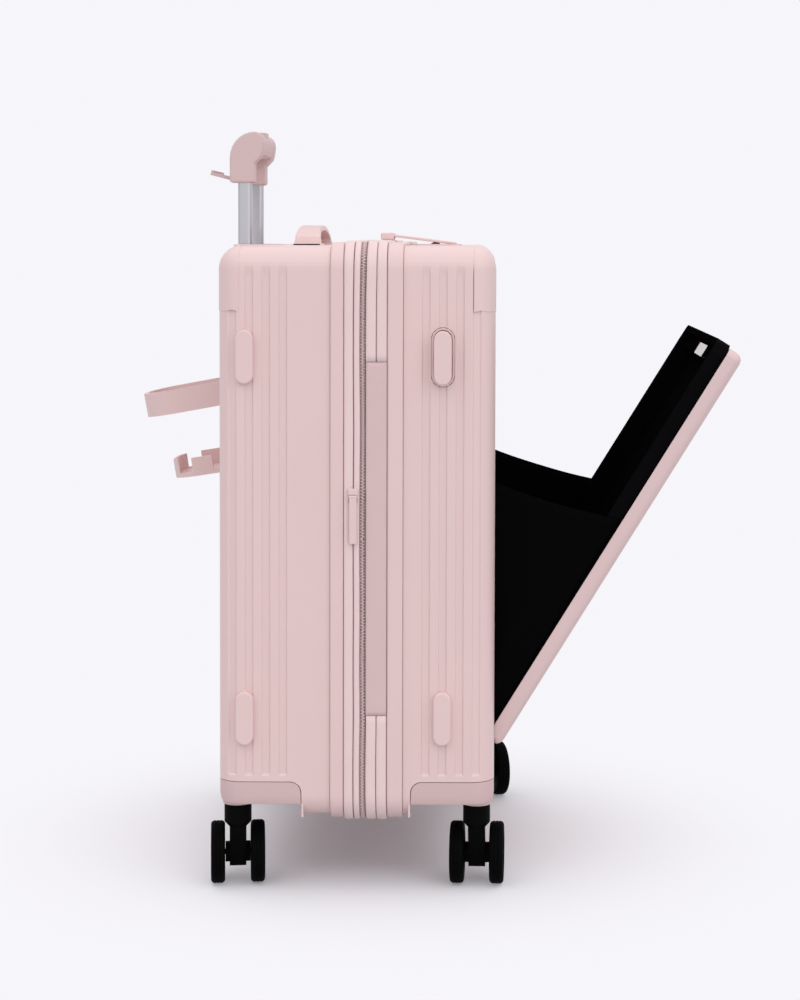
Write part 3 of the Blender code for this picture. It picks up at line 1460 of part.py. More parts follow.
def expansion_pull():
    """Pull of the expansion zip, hanging from its slider on the near side."""
    x = EXPANSION_TAPE_START + EXPANSION_TAPE_WIDTH
    face = -HALF - TAPE_PROUD - GAP
    slider = block(
        "expansion_slider",
        (x - 4.5 * MM, x + 4.5 * MM),
        (face - 3.6 * MM, face),
        (PULL_TOP - 5 * MM, PULL_TOP + 7 * MM),
        bevel=0.8 * MM,
        segments=1,
    )
    seat = block(
        "pull_seat",
        (x - PULL_WIDTH / 2 - GAP, x + PULL_WIDTH / 2 + GAP),
        (face - 10 * MM, face - 0.6 * MM),
        (PULL_TOP - 10 * MM, PULL_TOP + TAB_BARREL_RADIUS + GAP),
    )
    cut(slider, seat)
    metal_finish(slider)
    place = (x, face - 0.6 * MM - GAP - TAB_BARREL_RADIUS, PULL_TOP)
    parent = axis_empty("expansion_pull_hinge", place, CASE)
    obj = rod("expansion_pull", place, (1, 0, 0), TAB_BARREL_RADIUS, PULL_WIDTH, parent, steps=12)
    blade = block(
        "pull_blade",
        (x - PULL_WIDTH / 2 + 0.2 * MM, x + PULL_WIDTH / 2 - 0.2 * MM),
        (place[1] - PULL_THICKNESS / 2, place[1] + PULL_THICKNESS / 2),
        (PULL_TOP - PULL_LENGTH, PULL_TOP - 0.4 * MM),
        bevel=0.5 * MM,
        segments=1,
    )
    join(obj, carried(blade, parent))
    return trim_finish(obj)


def caster(name, end, side, heading):
    """A twin-wheel caster: fork with its axle, and two wheels. heading turns it about its stem."""
    x, y = caster_place(end, side)
    swivel = axis_empty(name + "_swivel", (x, y, 0), CASE, (0, 0, math.radians(heading)))
    neck_bottom = NECK_TOP - NECK_HEIGHT
    arm_half = FORK_WIDTH / 2
    hub_z = WHEEL_RADIUS
    profile = [
        (0, NECK_TOP + STEM_HEIGHT),
        (STEM_RADIUS, NECK_TOP + STEM_HEIGHT),
        (STEM_RADIUS, NECK_TOP),
        (NECK_RADIUS, NECK_TOP),
        (NECK_RADIUS, neck_bottom),
        (arm_half, neck_bottom - 5 * MM),
        (arm_half, neck_bottom - 8 * MM),
        (0, neck_bottom - 8 * MM),
    ]
    fork = turned(name + "_fork", profile, (x, y, 0), (0, 0, 1), swivel, steps=20)
    top = neck_bottom - 4 * MM
    trail = CASTER_TRAIL
    outline = [
        (-arm_half, top),
        (-arm_half + 2 * MM, top - 6 * MM),
        (trail - 6 * MM, hub_z - HUB_RADIUS - 2.2 * MM),
        (trail + 6 * MM, hub_z - HUB_RADIUS - 2.2 * MM),
        (trail + HUB_RADIUS, hub_z),
        (arm_half, top),
    ]
    arm = plate(name + "_arm", outline[::-1], (x, y, 0), FORK_WIDTH, "YZ")
    join(fork, carried(arm, swivel))
    hub = rod(name + "_hub", (x, y + trail, hub_z), (1, 0, 0), HUB_RADIUS, HUB_LENGTH)
    join(fork, carried(hub, swivel))
    axle_length = HUB_LENGTH + 2 * (GAP + WHEEL_WIDTH) - 2 * MM
    axle = rod(name + "_axle", (x, y + trail, hub_z), (1, 0, 0), AXLE_RADIUS, axle_length, steps=12)
    join(fork, carried(axle, swivel))
    black_finish(fork)
    bore = AXLE_RADIUS + GAP
    half = WHEEL_WIDTH / 2
    shoulder = WHEEL_SHOULDER
    rim = [
        (bore, half),
        (WHEEL_RADIUS - shoulder, half),
        (WHEEL_RADIUS - shoulder * 0.3, half - shoulder * 0.3),
        (WHEEL_RADIUS, half - shoulder),
    ]
    wheel_profile = rim + [(radius, -height) for radius, height in reversed(rim)]
    offset = HUB_LENGTH / 2 + GAP + half
    for label, way in (("left", -1), ("right", 1)):
        place = (x + way * offset, y + trail, hub_z)
        hub_empty = axis_empty(f"{name}_{label}_axle", place, swivel)
        black_finish(turned(f"{name}_wheel_{label}", wheel_profile, place, (1, 0, 0), hub_empty, steps=24))


def build():
    rear_shell()
    front_shell()
    zip_bands()
    fabric_hinge()
    lining()
    trolley_fixed()
    trolley = axis_empty("trolley_slide", (TUBE_X, 0, GRIP_BOTTOM), CASE)
    trolley_moving(trolley)
    trim_finish(button_form("release_button", 0, 0, trolley))
    rest = axis_empty("phone_rest_hinge", rest_axis(), trolley, (0, math.radians(REST_TILT), 0))
    phone_rest(rest)
    carry_handle()
    cup_plate()
    cup_ring()
    cup_tray()
    laptop_box()
    hinge = axis_empty("door_hinge", (DOOR_PIN[0], 0, DOOR_PIN[1]), CASE, (0, DOOR_SWING, 0))
    door(hinge)
    gusset("gusset_near", -1)
    gusset("gusset_far", 1)
    bag_hook()
    lock()
    zip_sliders()
    expansion_pull()
    for name, end, side, heading in (
        ("rear_near", -1, -1, 7),
        ("rear_far", -1, 1, 168),
        ("front_near", 1, -1, -2),
        ("front_far", 1, 1, -165),
    ):
        wheel_housing(name + "_housing", end, side)
        caster(name, end, side, heading)


build()
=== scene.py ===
import json
import math

import bmesh
import bpy
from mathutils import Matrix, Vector, noise

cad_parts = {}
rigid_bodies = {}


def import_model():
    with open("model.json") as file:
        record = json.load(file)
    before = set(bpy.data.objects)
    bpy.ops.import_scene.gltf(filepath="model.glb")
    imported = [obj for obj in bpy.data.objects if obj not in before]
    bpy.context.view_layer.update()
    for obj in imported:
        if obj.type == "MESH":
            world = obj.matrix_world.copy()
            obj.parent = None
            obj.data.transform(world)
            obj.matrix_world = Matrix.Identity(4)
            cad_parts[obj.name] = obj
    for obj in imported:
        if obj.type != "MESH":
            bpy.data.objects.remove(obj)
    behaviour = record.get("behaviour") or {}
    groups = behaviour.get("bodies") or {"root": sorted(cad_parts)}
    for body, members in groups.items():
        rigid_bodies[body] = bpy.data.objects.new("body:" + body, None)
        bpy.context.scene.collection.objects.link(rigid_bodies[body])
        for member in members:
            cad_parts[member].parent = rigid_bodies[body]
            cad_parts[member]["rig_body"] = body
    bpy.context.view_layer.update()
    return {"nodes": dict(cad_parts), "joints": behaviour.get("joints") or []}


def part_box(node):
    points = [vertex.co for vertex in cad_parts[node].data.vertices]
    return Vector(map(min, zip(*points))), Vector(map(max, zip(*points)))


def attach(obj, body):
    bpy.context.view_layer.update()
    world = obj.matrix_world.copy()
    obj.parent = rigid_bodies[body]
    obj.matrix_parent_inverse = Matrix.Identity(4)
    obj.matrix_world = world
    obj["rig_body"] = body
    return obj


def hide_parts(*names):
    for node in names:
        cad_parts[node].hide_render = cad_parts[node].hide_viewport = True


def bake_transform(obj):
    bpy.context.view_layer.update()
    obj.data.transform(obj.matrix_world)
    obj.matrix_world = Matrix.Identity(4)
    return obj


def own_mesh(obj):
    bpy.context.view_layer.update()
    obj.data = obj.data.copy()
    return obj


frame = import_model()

# Where the case stands.
# Its own middle is found from the rear edge frame, which runs all round it. Places below are
# in millimetres from there, with x towards the front, y away from the near side and z up.
RIM_TO_MIDDLE = 0.022
rim_low, rim_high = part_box("rear_rim")
CASE_X = rim_low.x + RIM_TO_MIDDLE
CASE_Y = (rim_low.y + rim_high.y) / 2


def at(x, y, z):
    """A place in the case's own measure, in millimetres, as a point in metres."""
    return Vector((CASE_X + x / 1000, CASE_Y + y / 1000, z / 1000))


# Floor, light and camera.
# The case stands on a plain pale floor in a bright, even room, with a wide soft light above
# and two weaker ones in front. The floor keeps the shadow and then fades into the backdrop.
PALE = (0.925, 0.916, 0.956, 1)
ROOM_LIGHT = (0.99, 0.985, 1.0, 1)
ROOM_LEVEL = 0.74
FLOOR_PAINT = (0.868, 0.860, 0.897, 1)
FLOOR_BOUNCE = (0.58, 0.575, 0.59, 1)
FLOOR_HALF = 30
FADE_START, FADE_END = 0.08, 0.44


def wired(tree, kind, feed, **settings):
    """A new node with its settings. feed gives each input, by name or place: an output or a value."""
    node = tree.nodes.new(kind)
    for name, value in settings.items():
        setattr(node, name, value)
    for socket, source in feed.items():
        if isinstance(source, bpy.types.NodeSocket):
            tree.links.new(source, node.inputs[socket])
        else:
            node.inputs[socket].default_value = source
    return node


def maths(tree, operation, *sources):
    """The output of a sum worked out from outputs or plain values."""
    return wired(tree, "ShaderNodeMath", dict(enumerate(sources)), operation=operation).outputs[0]


def seen_rays(tree):
    """1 for rays that carry what is seen, directly or in metal and glass."""
    path = tree.nodes.new("ShaderNodeLightPath")
    both = maths(tree, "MAXIMUM", path.outputs["Is Camera Ray"], path.outputs["Is Glossy Ray"])
    return maths(tree, "MAXIMUM", both, path.outputs["Is Transmission Ray"])


world = bpy.data.worlds.new("soft_room")
bpy.context.scene.world = world
world.use_nodes = True
tree = world.node_tree
tree.nodes.clear()
seen = wired(tree, "ShaderNodeBackground", {"Color": PALE, "Strength": 1.0})
room = wired(tree, "ShaderNodeBackground", {"Color": ROOM_LIGHT, "Strength": ROOM_LEVEL})
mix = wired(tree, "ShaderNodeMixShader", {"Fac": seen_rays(tree), 1: room.outputs[0], 2: seen.outputs[0]})
wired(tree, "ShaderNodeOutputWorld", {"Surface": mix.outputs[0]})


def soft_light(name, towards, level, spread):
    """A light so wide that its shadows have no edge. towards is the way that it shines."""
    data = bpy.data.lights.new(name, "SUN")
    data.energy = level
    data.angle = math.radians(spread)
    obj = bpy.data.objects.new(name, data)
    obj.rotation_euler = Vector(towards).to_track_quat("-Z", "Y").to_euler()
    bpy.context.scene.collection.objects.link(obj)


soft_light("ceiling_light", (0, 0.12, -1), 0.92, 95)
soft_light("front_left_light", (0.5, 1, -0.45), 0.24, 60)
soft_light("front_right_light", (-0.75, 1, -0.4), 0.62, 55)

floor_mesh = bpy.data.meshes.new("floor")
work = bmesh.new()
bmesh.ops.create_grid(work, x_segments=1, y_segments=1, size=FLOOR_HALF)
work.to_mesh(floor_mesh)
work.free()
floor = bpy.data.objects.new("floor", floor_mesh)
bpy.context.scene.collection.objects.link(floor)
paint = bpy.data.materials.new("floor_paint")
paint.use_nodes = True
tree = paint.node_tree
surface = tree.nodes["Principled BSDF"]
surface.inputs["Roughness"].default_value = 1.0
surface.inputs["Specular IOR Level"].default_value = 0.0
seen_share = seen_rays(tree)
tone = wired(tree, "ShaderNodeMix", {0: seen_share, 6: FLOOR_BOUNCE, 7: FLOOR_PAINT}, data_type="RGBA")
tree.links.new(tone.outputs[2], surface.inputs["Base Color"])
far_paint = wired(tree, "ShaderNodeEmission", {"Color": PALE})
place = tree.nodes.new("ShaderNodeTexCoord")
under_case = wired(tree, "ShaderNodeMapping", {
    "Vector": place.outputs["Object"], "Location": (-CASE_X, -CASE_Y, 0),
})
reach = wired(tree, "ShaderNodeVectorMath", {0: under_case.outputs[0]}, operation="LENGTH")
away = wired(tree, "ShaderNodeMapRange", {
    "Value": reach.outputs["Value"], "From Min": FADE_START, "From Max": FADE_END,
}, interpolation_type="SMOOTHSTEP")
share = maths(tree, "MULTIPLY", away.outputs[0], seen_share)
blend = wired(tree, "ShaderNodeMixShader", {"Fac": share, 1: surface.outputs[0], 2: far_paint.outputs[0]})
tree.links.new(blend.outputs[0], tree.nodes["Material Output"].inputs["Surface"])
floor_mesh.materials.append(paint)

camera_data = bpy.data.cameras.new("camera")
camera_data.sensor_width = 36
camera_data.sensor_fit = "AUTO"
camera_data.lens = 77.3
camera_data.shift_x = -0.09
camera_data.shift_y = -0.171
camera = bpy.data.objects.new("camera", camera_data)
camera.location = at(112.8, -1996, 563.5)
LOOK_DOWN, LOOK_ROLL = 2.5, -0.23
camera.rotation_euler = (math.radians(90 - LOOK_DOWN), math.radians(LOOK_ROLL), 0)
bpy.context.scene.collection.objects.link(camera)
bpy.context.scene.camera = camera
bpy.context.scene.view_settings.view_transform = "Standard"


# Case halves.
# Two thermoformed polycarbonate shells with upright flutes pressed in, a foot pad standing on
# each side, and openings for the housings, the handles, the lock, the hook and the door.
PINK = (0.765, 0.570, 0.560, 1)
BACK, FRONT, HALF, LOW, TOP, ROUND = -118.0, 118.0, 182.0, 65.0, 554.0, 20.0
WALL = 1.6
FLUTE_HALF, FLUTE_FLOOR, FLUTE_DEEP = 3.9, 2.6, 1.4
FLUTE_FOOT, FLUTE_HEAD = 101.5, 540.0
FOOT_EASE, HEAD_EASE = 2.4, 12
REAR_FLUTES = (-105.4, -91.0, -76.6, -62.2)
FRONT_FLUTES = (102.4, 88.0, 73.6, 59.2)
BACK_FLUTES = [side * (98 + 14.4 * i) for side in (-1, 1) for i in range(4)]
PAD_RADIUS, PAD_REACH, PAD_ROUND = 7.6, 15.4, 1.7
PAD_HEIGHT, PAD_SUNK = 6, 2.2
REAR_PAD, FRONT_PAD, LOWER_PAD, UPPER_PAD = -94.5, 73.5, 152, 460
HOUSING_INNER, HOUSING_TOP, HOUSING_ROUND, HOUSING_SIDE = 47, 96.3, 9, 110
SEAM = 0.6


def node_group(name, kind, inputs, outputs):
    """A group with its named sockets: the group, its input and output nodes, and socket identifiers."""
    group = bpy.data.node_groups.new(name, kind)
    sockets = {}
    for label, (socket_type, value) in inputs.items():
        socket = group.interface.new_socket(label, in_out="INPUT", socket_type="NodeSocket" + socket_type)
        if value is not None:
            socket.default_value = value
        sockets[label] = socket.identifier
    for label, socket_type in outputs.items():
        group.interface.new_socket(label, in_out="OUTPUT", socket_type="NodeSocket" + socket_type)
    return group, group.nodes.new("NodeGroupInput"), group.nodes.new("NodeGroupOutput"), sockets


GRAINED = {"Colour": "Color", "Roughness": "Float", "Height": "Float"}


def grain_group():
    """Fine moulded grain: a small change of colour, a roughness and a height."""
    group, inside, result, _ = node_group("moulded_grain", "ShaderNodeTree", {
        "Colour": ("Color", (0.5, 0.5, 0.5, 1)),
        "Scale": ("Float", 900.0),
        "Roughness": ("Float", 0.4),
        "Spread": ("Float", 0.08),
    }, GRAINED)
    given = inside.outputs
    place = group.nodes.new("ShaderNodeTexCoord").outputs["Object"]
    fine = wired(group, "ShaderNodeTexNoise", {"Vector": place, "Scale": given["Scale"], "Detail": 3})
    broad = wired(group, "ShaderNodeTexNoise", {"Vector": place, "Scale": 9, "Detail": 2})
    shade = wired(group, "ShaderNodeMapRange", {
        "Value": broad.outputs["Fac"], "To Min": 0.975, "To Max": 1.025,
    })
    tint = wired(group, "ShaderNodeVectorMath", {
        0: given["Colour"], "Scale": shade.outputs[0],
    }, operation="SCALE")
    centred = maths(group, "SUBTRACT", fine.outputs["Fac"], 0.5)
    rough = maths(group, "MULTIPLY_ADD", centred, given["Spread"], given["Roughness"])
    group.links.new(tint.outputs[0], result.inputs["Colour"])
    group.links.new(rough, result.inputs["Roughness"])
    group.links.new(fine.outputs["Fac"], result.inputs["Height"])
    return group


def grained(name, group, given, depth, strength):
    """A material that takes its colour, gloss and bump from a shared group, and its shader."""
    material = bpy.data.materials.new(name)
    material.use_nodes = True
    tree = material.node_tree
    shader = tree.nodes["Principled BSDF"]
    grain = wired(tree, "ShaderNodeGroup", given, node_tree=group)
    bump = wired(tree, "ShaderNodeBump", {
        "Height": grain.outputs["Height"], "Distance": depth, "Strength": strength,
    })
    tree.links.new(grain.outputs["Colour"], shader.inputs["Base Color"])
    tree.links.new(grain.outputs["Roughness"], shader.inputs["Roughness"])
    tree.links.new(bump.outputs[0], shader.inputs["Normal"])
    return material, shader


moulded_grain = grain_group()


def moulded(name, colour, roughness, scale, depth=0.00004, metallic=0.0, coat=0.0):
    """A moulded or metal finish with a fine grain."""
    given = {"Colour": colour, "Roughness": roughness, "Scale": scale}
    material, shader = grained(name, moulded_grain, given, depth, 0.5)
    shader.inputs["Metallic"].default_value = metallic
    shader.inputs["Coat Weight"].default_value = coat
    shader.inputs["Coat Roughness"].default_value = 0.2
    return material


def rounded(piece, edge, steps=2, sharp=35):
    """Rounds the edges of a closed piece and keeps its flat faces flat, as real geometry."""
    if edge:
        rounding = piece.modifiers.new("rounded_edges", "BEVEL")
        rounding.width = edge
        rounding.segments = steps
        rounding.limit_method = "ANGLE"
        rounding.angle_limit = math.radians(sharp)
        rounding.miter_outer = "MITER_ARC"
        rounding.use_clamp_overlap = True
    piece.data.shade_smooth()
    piece.data.set_sharp_from_angle(angle=math.radians(60 if edge else 40))
    flat = piece.modifiers.new("flat_faces", "WEIGHTED_NORMAL")
    flat.keep_sharp = True
    view = bpy.context.evaluated_depsgraph_get()
    mesh = bpy.data.meshes.new_from_object(piece.evaluated_get(view))
    piece.modifiers.clear()
    piece.data = mesh
    return piece


def finished(node, material, edge, steps=2, merge=True):
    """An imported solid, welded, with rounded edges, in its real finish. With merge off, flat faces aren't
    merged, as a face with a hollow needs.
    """
    source = frame["nodes"][node]
    piece = bpy.data.objects.new(node + "_finish", source.data.copy())
    bpy.context.scene.collection.objects.link(piece)
    work = bmesh.new()
    work.from_mesh(piece.data)
    bmesh.ops.remove_doubles(work, verts=work.verts, dist=2e-6)
    if merge:
        bmesh.ops.dissolve_limit(work, angle_limit=math.radians(0.6), verts=work.verts, edges=work.edges)
    work.to_mesh(piece.data)
    work.free()
    piece.data.materials.clear()
    piece.data.materials.append(material)
    for face in piece.data.polygons:
        face.material_index = 0
    rounded(piece, edge, steps)
    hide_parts(node)
    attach(piece, source["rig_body"])


shell_finish = moulded("shell_polycarbonate", PINK, 0.42, scale=700, depth=0.00003, coat=0.10)
trim_finish = moulded("trim_moulding", PINK, 0.5, scale=1200, depth=0.00003)


def faces_inward(faces, verts):
    """Whether the faces look towards the middle of their corners rather than away from it."""
    middle = sum((vertex.co for vertex in verts), Vector()) / len(verts)
    return sum((face.calc_center_median() - middle).dot(face.normal) * face.calc_area() for face in faces) < 0


def mesh_from(work, name):
    """A mesh from one drawn in the case's own measure, which is then freed."""
    for vertex in work.verts:
        vertex.co = at(*vertex.co)
    mesh = bpy.data.meshes.new(name)
    work.to_mesh(mesh)
    work.free()
    return mesh


def piece_from(work, name, material, body):
    """A finished piece from a mesh in the case's own measure."""
    bmesh.ops.recalc_face_normals(work, faces=work.faces)
    if faces_inward(work.faces, work.verts):
        bmesh.ops.reverse_faces(work, faces=work.faces[:])
    mesh = mesh_from(work, name)
    mesh.materials.append(material)
    piece = bpy.data.objects.new(name, mesh)
    bpy.context.scene.collection.objects.link(piece)
    if body:
        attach(piece, body)
    return piece


def box_work(x, y, z):
    """A plain block between two places on each axis, in the case's own measure."""
    work = bmesh.new()
    bmesh.ops.create_cube(work, size=1)
    for vertex in work.verts:
        for axis, (low, high) in enumerate((x, y, z)):
            vertex.co[axis] = (low + high) / 2 + vertex.co[axis] * (high - low)
    return work


def prism(work, outline, plane, low, high):
    """Adds a straight bar with that outline to a mesh. plane names the two axes of the outline."""
    place = {
        "XZ": lambda u, v, w: (u, w, v),
        "YZ": lambda u, v, w: (w, u, v),
        "XY": lambda u, v, w: (u, v, w),
    }[plane]
    lower = [work.verts.new(place(u, v, low)) for u, v in outline]
    upper = [work.verts.new(place(u, v, high)) for u, v in outline]
    faces = [work.faces.new(lower), work.faces.new(upper)]
    for i in range(len(outline)):
        j = (i + 1) % len(outline)
        faces.append(work.faces.new((lower[i], lower[j], upper[j], upper[i])))
    bmesh.ops.recalc_face_normals(work, faces=faces)
    if faces_inward(faces, lower + upper):
        bmesh.ops.reverse_faces(work, faces=faces)


def round_corner(u, v, radius, start, steps=6):
    """Points on a quarter of a circle about u, v, from an angle in degrees."""
    turn = [math.radians(start + 90 * i / steps) for i in range(steps + 1)]
    return [(u + radius * math.cos(a), v + radius * math.sin(a)) for a in turn]


def round_box(u, v, radius):
    """Outline of a rectangle between two places on each axis, with round corners."""
    (u0, u1), (v0, v1) = u, v
    points = round_corner(u1 - radius, v1 - radius, radius, 0)
    points += round_corner(u0 + radius, v1 - radius, radius, 90)
    points += round_corner(u0 + radius, v0 + radius, radius, 180)
    return points + round_corner(u1 - radius, v0 + radius, radius, 270)


def housing_cuts(end):
    """Cuts for the two wheel housings of a shell, square at its end and round at the inner corner."""
    inner, top, radius = HOUSING_INNER - SEAM, HOUSING_TOP + SEAM, HOUSING_ROUND + SEAM
    points = [(120, 60), (120, top)] + round_corner(inner + radius, top - radius, radius, 90) + [(inner, 60)]
    outline = [(end * u, v) for u, v in points]
    return [(outline, "XZ", HOUSING_SIDE - SEAM, 184), (outline, "XZ", -184, -HOUSING_SIDE + SEAM)]


def ease(value):
    """A smooth step from 0 to 1."""
    value = min(max(value, 0), 1)
    return value * value * (3 - 2 * value)


def flute_share(off, z):
    """How deep the wall is pressed in, from 0 to 1, at a distance from a flute's middle and a height."""
    across = 1 - ease((abs(off) - FLUTE_FLOOR) / (FLUTE_HALF - FLUTE_FLOOR))
    risen = across * ease((z - FLUTE_FOOT) / FOOT_EASE)
    return risen * (1 - ease((z - FLUTE_HEAD + HEAD_EASE) / HEAD_EASE))


def outward_at(place):
    """The outside wall's own direction: away from the block that the rounded box is drawn round."""
    inner = Vector((
        min(max(place.x, BACK + ROUND), FRONT - ROUND),
        min(max(place.y, -HALF + ROUND), HALF - ROUND),
        min(max(place.z, LOW + ROUND), TOP - ROUND),
    ))
    away = place - inner
    return away.normalized() if away.length > 1e-6 else away


def pad_outline(x, z, margin=0.0):
    """Capsule outline of a foot pad, or of a hole that much wider."""
    points = []
    radius = PAD_RADIUS + margin
    for middle, start in ((z + PAD_REACH, 0), (z - PAD_REACH, 180)):
        turns = [math.radians(start + 15 * i) for i in range(13)]
        points += [(x + radius * math.cos(turn), middle + radius * math.sin(turn)) for turn in turns]
    return points


def fluted_shell(name, x, open_end, side_flutes, back_flutes, openings, pads, body):
    """A shell drawn over the case's rounded form, with its flutes, openings and foot pads."""
    work = box_work(x, (-HALF, HALF), (LOW, TOP))
    gone = [face for face in work.faces if face.normal.x * open_end > 0.9]
    bmesh.ops.delete(work, geom=gone, context="FACES")
    edges = [edge for edge in work.edges if len(edge.link_faces) == 2]
    bmesh.ops.bevel(work, geom=edges, offset=ROUND, segments=10, profile=0.5, affect="EDGES")
    lines = [FLUTE_FLOOR + (FLUTE_HALF - FLUTE_FLOOR) * i / 4 for i in range(5)]
    cuts = [(0, middle + way * line) for middle in side_flutes for line in lines for way in (-1, 1)]
    cuts += [(1, middle + way * line) for middle in back_flutes for line in lines for way in (-1, 1)]
    cuts += [(2, FLUTE_FOOT + 0.6 * i) for i in range(5)]
    cuts += [(2, FLUTE_HEAD - HEAD_EASE + 1.5 * i) for i in range(9)]
    for axis, value in cuts:
        way = Vector([1 if i == axis else 0 for i in range(3)])
        bmesh.ops.bisect_plane(work, geom=work.verts[:] + work.edges[:] + work.faces[:], dist=1e-5,
                               plane_co=way * value, plane_no=way)
    moves = {}
    for vertex in work.verts:
        place = vertex.co
        share = 0.0
        if abs(place.y) > HALF - ROUND:
            share = max([flute_share(place.x - middle, place.z) for middle in side_flutes] or [0])
        elif back_flutes and place.x < BACK + ROUND:
            share = max(flute_share(place.y - middle, place.z) for middle in back_flutes)
        if share > 0:
            moves[vertex] = outward_at(place) * -FLUTE_DEEP * share
    for vertex, move in moves.items():
        vertex.co += move
    piece = piece_from(work, name, shell_finish, body)
    wall = piece.modifiers.new("wall", "SOLIDIFY")
    wall.thickness = WALL / 1000
    wall.offset = -1
    wall.use_even_offset = True
    tools = bmesh.new()
    for outline, plane, low, high in openings:
        prism(tools, outline, plane, low, high)
    tool = bpy.data.objects.new(name + "_openings", mesh_from(tools, name + "_openings"))
    bpy.context.scene.collection.objects.link(tool)
    cut = piece.modifiers.new("openings", "BOOLEAN")
    cut.operation = "DIFFERENCE"
    cut.solver = "MANIFOLD"
    cut.object = tool
    view = bpy.context.evaluated_depsgraph_get()
    mesh = bpy.data.meshes.new_from_object(piece.evaluated_get(view))
    piece.modifiers.clear()
    bpy.data.objects.remove(tool)
    joined = bmesh.new()
    joined.from_mesh(mesh)
    added = []
    for pad_x, side, pad_z in pads:
        pad = bmesh.new()
        depths = sorted((side * (HALF - PAD_SUNK), side * (HALF + PAD_HEIGHT)))
        prism(pad, pad_outline(pad_x, pad_z), "XZ", *depths)
        rim = [edge for edge in pad.edges if all(abs(v.co.y) > HALF + PAD_HEIGHT - 1 for v in edge.verts)]
        bmesh.ops.bevel(pad, geom=rim, offset=PAD_ROUND, segments=4, profile=0.5, affect="EDGES")
        bmesh.ops.recalc_face_normals(pad, faces=pad.faces)
        added.append(pad)
    end = 1 if x[1] == FRONT else -1
    inner, side_inner = HOUSING_INNER - SEAM, HOUSING_SIDE - SEAM
    crosswise = (inner - WALL, inner), (108, 180.5)
    lengthwise = (inner - WALL, 116.5), (side_inner - WALL, side_inner)
    for side in (-1, 1):
        for u, v in (crosswise, lengthwise):
            across, along = sorted((end * u[0], end * u[1])), sorted((side * v[0], side * v[1]))
            added.append(box_work(across, along, (LOW + 1, 96.2)))
    for form in added:
        extra = mesh_from(form, "extra")
        joined.from_mesh(extra)
        bpy.data.meshes.remove(extra)
    joined.to_mesh(mesh)
    joined.free()
    piece.data = mesh
    for face in mesh.polygons:
        face.material_index = 0
    return rounded(piece, 0, 0)


rear_openings = housing_cuts(-1) + [(round_box((-63, 63), (511.5, 600), 4), "YZ", -130, -83.7)]
for y in (-63, 63):
    rear_openings.append((round_box((-66, -36), (y - 10.3, y + 10.3), 4), "XY", 540, 560))
rear_pads = [(REAR_PAD, side, z) for side in (-1, 1) for z in (LOWER_PAD, UPPER_PAD)]
rear_shell = fluted_shell("rear_shell_moulding", (BACK, -22.3), 1, REAR_FLUTES, BACK_FLUTES,
                          rear_openings, rear_pads, "rear_case")
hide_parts("rear_shell")
front_openings = housing_cuts(1) + [
    (round_box((-153.5, 153.5), (120.5, 529.5), 7), "YZ", 110, 126),
    (pad_outline(FRONT_PAD, UPPER_PAD, 2.5), "XZ", -190, -166),
    (round_box((43.8, 86.4), (-17.3, 41.3), 5.3), "XY", 540, 560),
]
front_pads = [(FRONT_PAD, -1, LOWER_PAD), (FRONT_PAD, 1, LOWER_PAD), (FRONT_PAD, 1, UPPER_PAD)]
front_shell = fluted_shell("front_shell_moulding", (40.1, FRONT), -1, FRONT_FLUTES, [],
                           front_openings, front_pads, "front_case")
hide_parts("front_shell")
# The door shell is the shell's pink darkened a little: painted shade for its side face, which gets less light.
door_shaded_finish = moulded("door_polycarbonate_painted_shade", (0.70, 0.52, 0.52, 1), 0.42, scale=700, depth=0.00003, coat=0.10)
finished("door_shell", door_shaded_finish, edge=0.0006, merge=False)


# Corner guards.
# Thin moulded caps over the upper end of each upright corner, riveted flush from inside the
# shell. Each foot is cut straight, with a small notch on the side.
GUARD_PROUD, GUARD_FOOT, GUARD_REACH = 0.5, 498.5, 18.5
GUARD_BURIED = 0.3
NOTCH_FROM_MIDDLE, NOTCH_RISE = 106, 1.2


def corner_guard(name, end, side, body):
    """A cap cut from the case's own rounded form, a little larger."""
    proud = GUARD_PROUD
    work = box_work((BACK - proud, FRONT + proud), (-HALF - proud, HALF + proud), (LOW - proud, TOP + proud))
    bmesh.ops.bevel(work, geom=work.edges[:], offset=ROUND + proud, segments=12, profile=0.5, affect="EDGES")
    for place, away in (
        (Vector((end * (FRONT - GUARD_REACH), 0, 0)), Vector((-end, 0, 0))),
        (Vector((0, side * (HALF - GUARD_REACH), 0)), Vector((0, -side, 0))),
        (Vector((0, 0, GUARD_FOOT)), Vector((0, 0, -1))),
    ):
        bmesh.ops.bisect_plane(work, geom=work.verts[:] + work.edges[:] + work.faces[:], dist=1e-5,
                               plane_co=place, plane_no=away, clear_outer=True)
    for vertex in work.verts:
        beside = abs(vertex.co.x - end * NOTCH_FROM_MIDDLE)
        vertex.co.z += NOTCH_RISE * (ease(1 - beside / 5) * ease(1 - (vertex.co.z - GUARD_FOOT) / 2))
    piece = piece_from(work, name, shell_finish, body)
    wall = piece.modifiers.new("wall", "SOLIDIFY")
    wall.thickness = (proud + GUARD_BURIED) / 1000
    wall.offset = -1
    rounded(piece, 0.0003, 2, 50)


for end_name, end in (("rear", -1), ("front", 1)):
    for side_name, side in (("near", -1), ("far", 1)):
        corner_guard(f"{end_name}_{side_name}_corner_guard", end, side, end_name + "_case")


# Edge frames and wheel housings.
# Injection mouldings in the case's pink: a frame round each shell's open edge, and a cap under
# each corner that carries its caster, whose pink is darkened as painted shade low under the case.
# The housings' darker pink is painted shade: less light reaches them low down by the floor.
housing_shade_finish = moulded("housing_moulding_painted_shade", (0.64, 0.465, 0.465, 1), 0.5, scale=1200, depth=0.00003)
for node in ("rear_rim", "front_rim"):
    finished(node, trim_finish, edge=0.0016, steps=4)
for end in ("rear", "front"):
    for side in ("near", "far"):
        finished(f"{end}_{side}_housing", housing_shade_finish, edge=0.0008, steps=3)


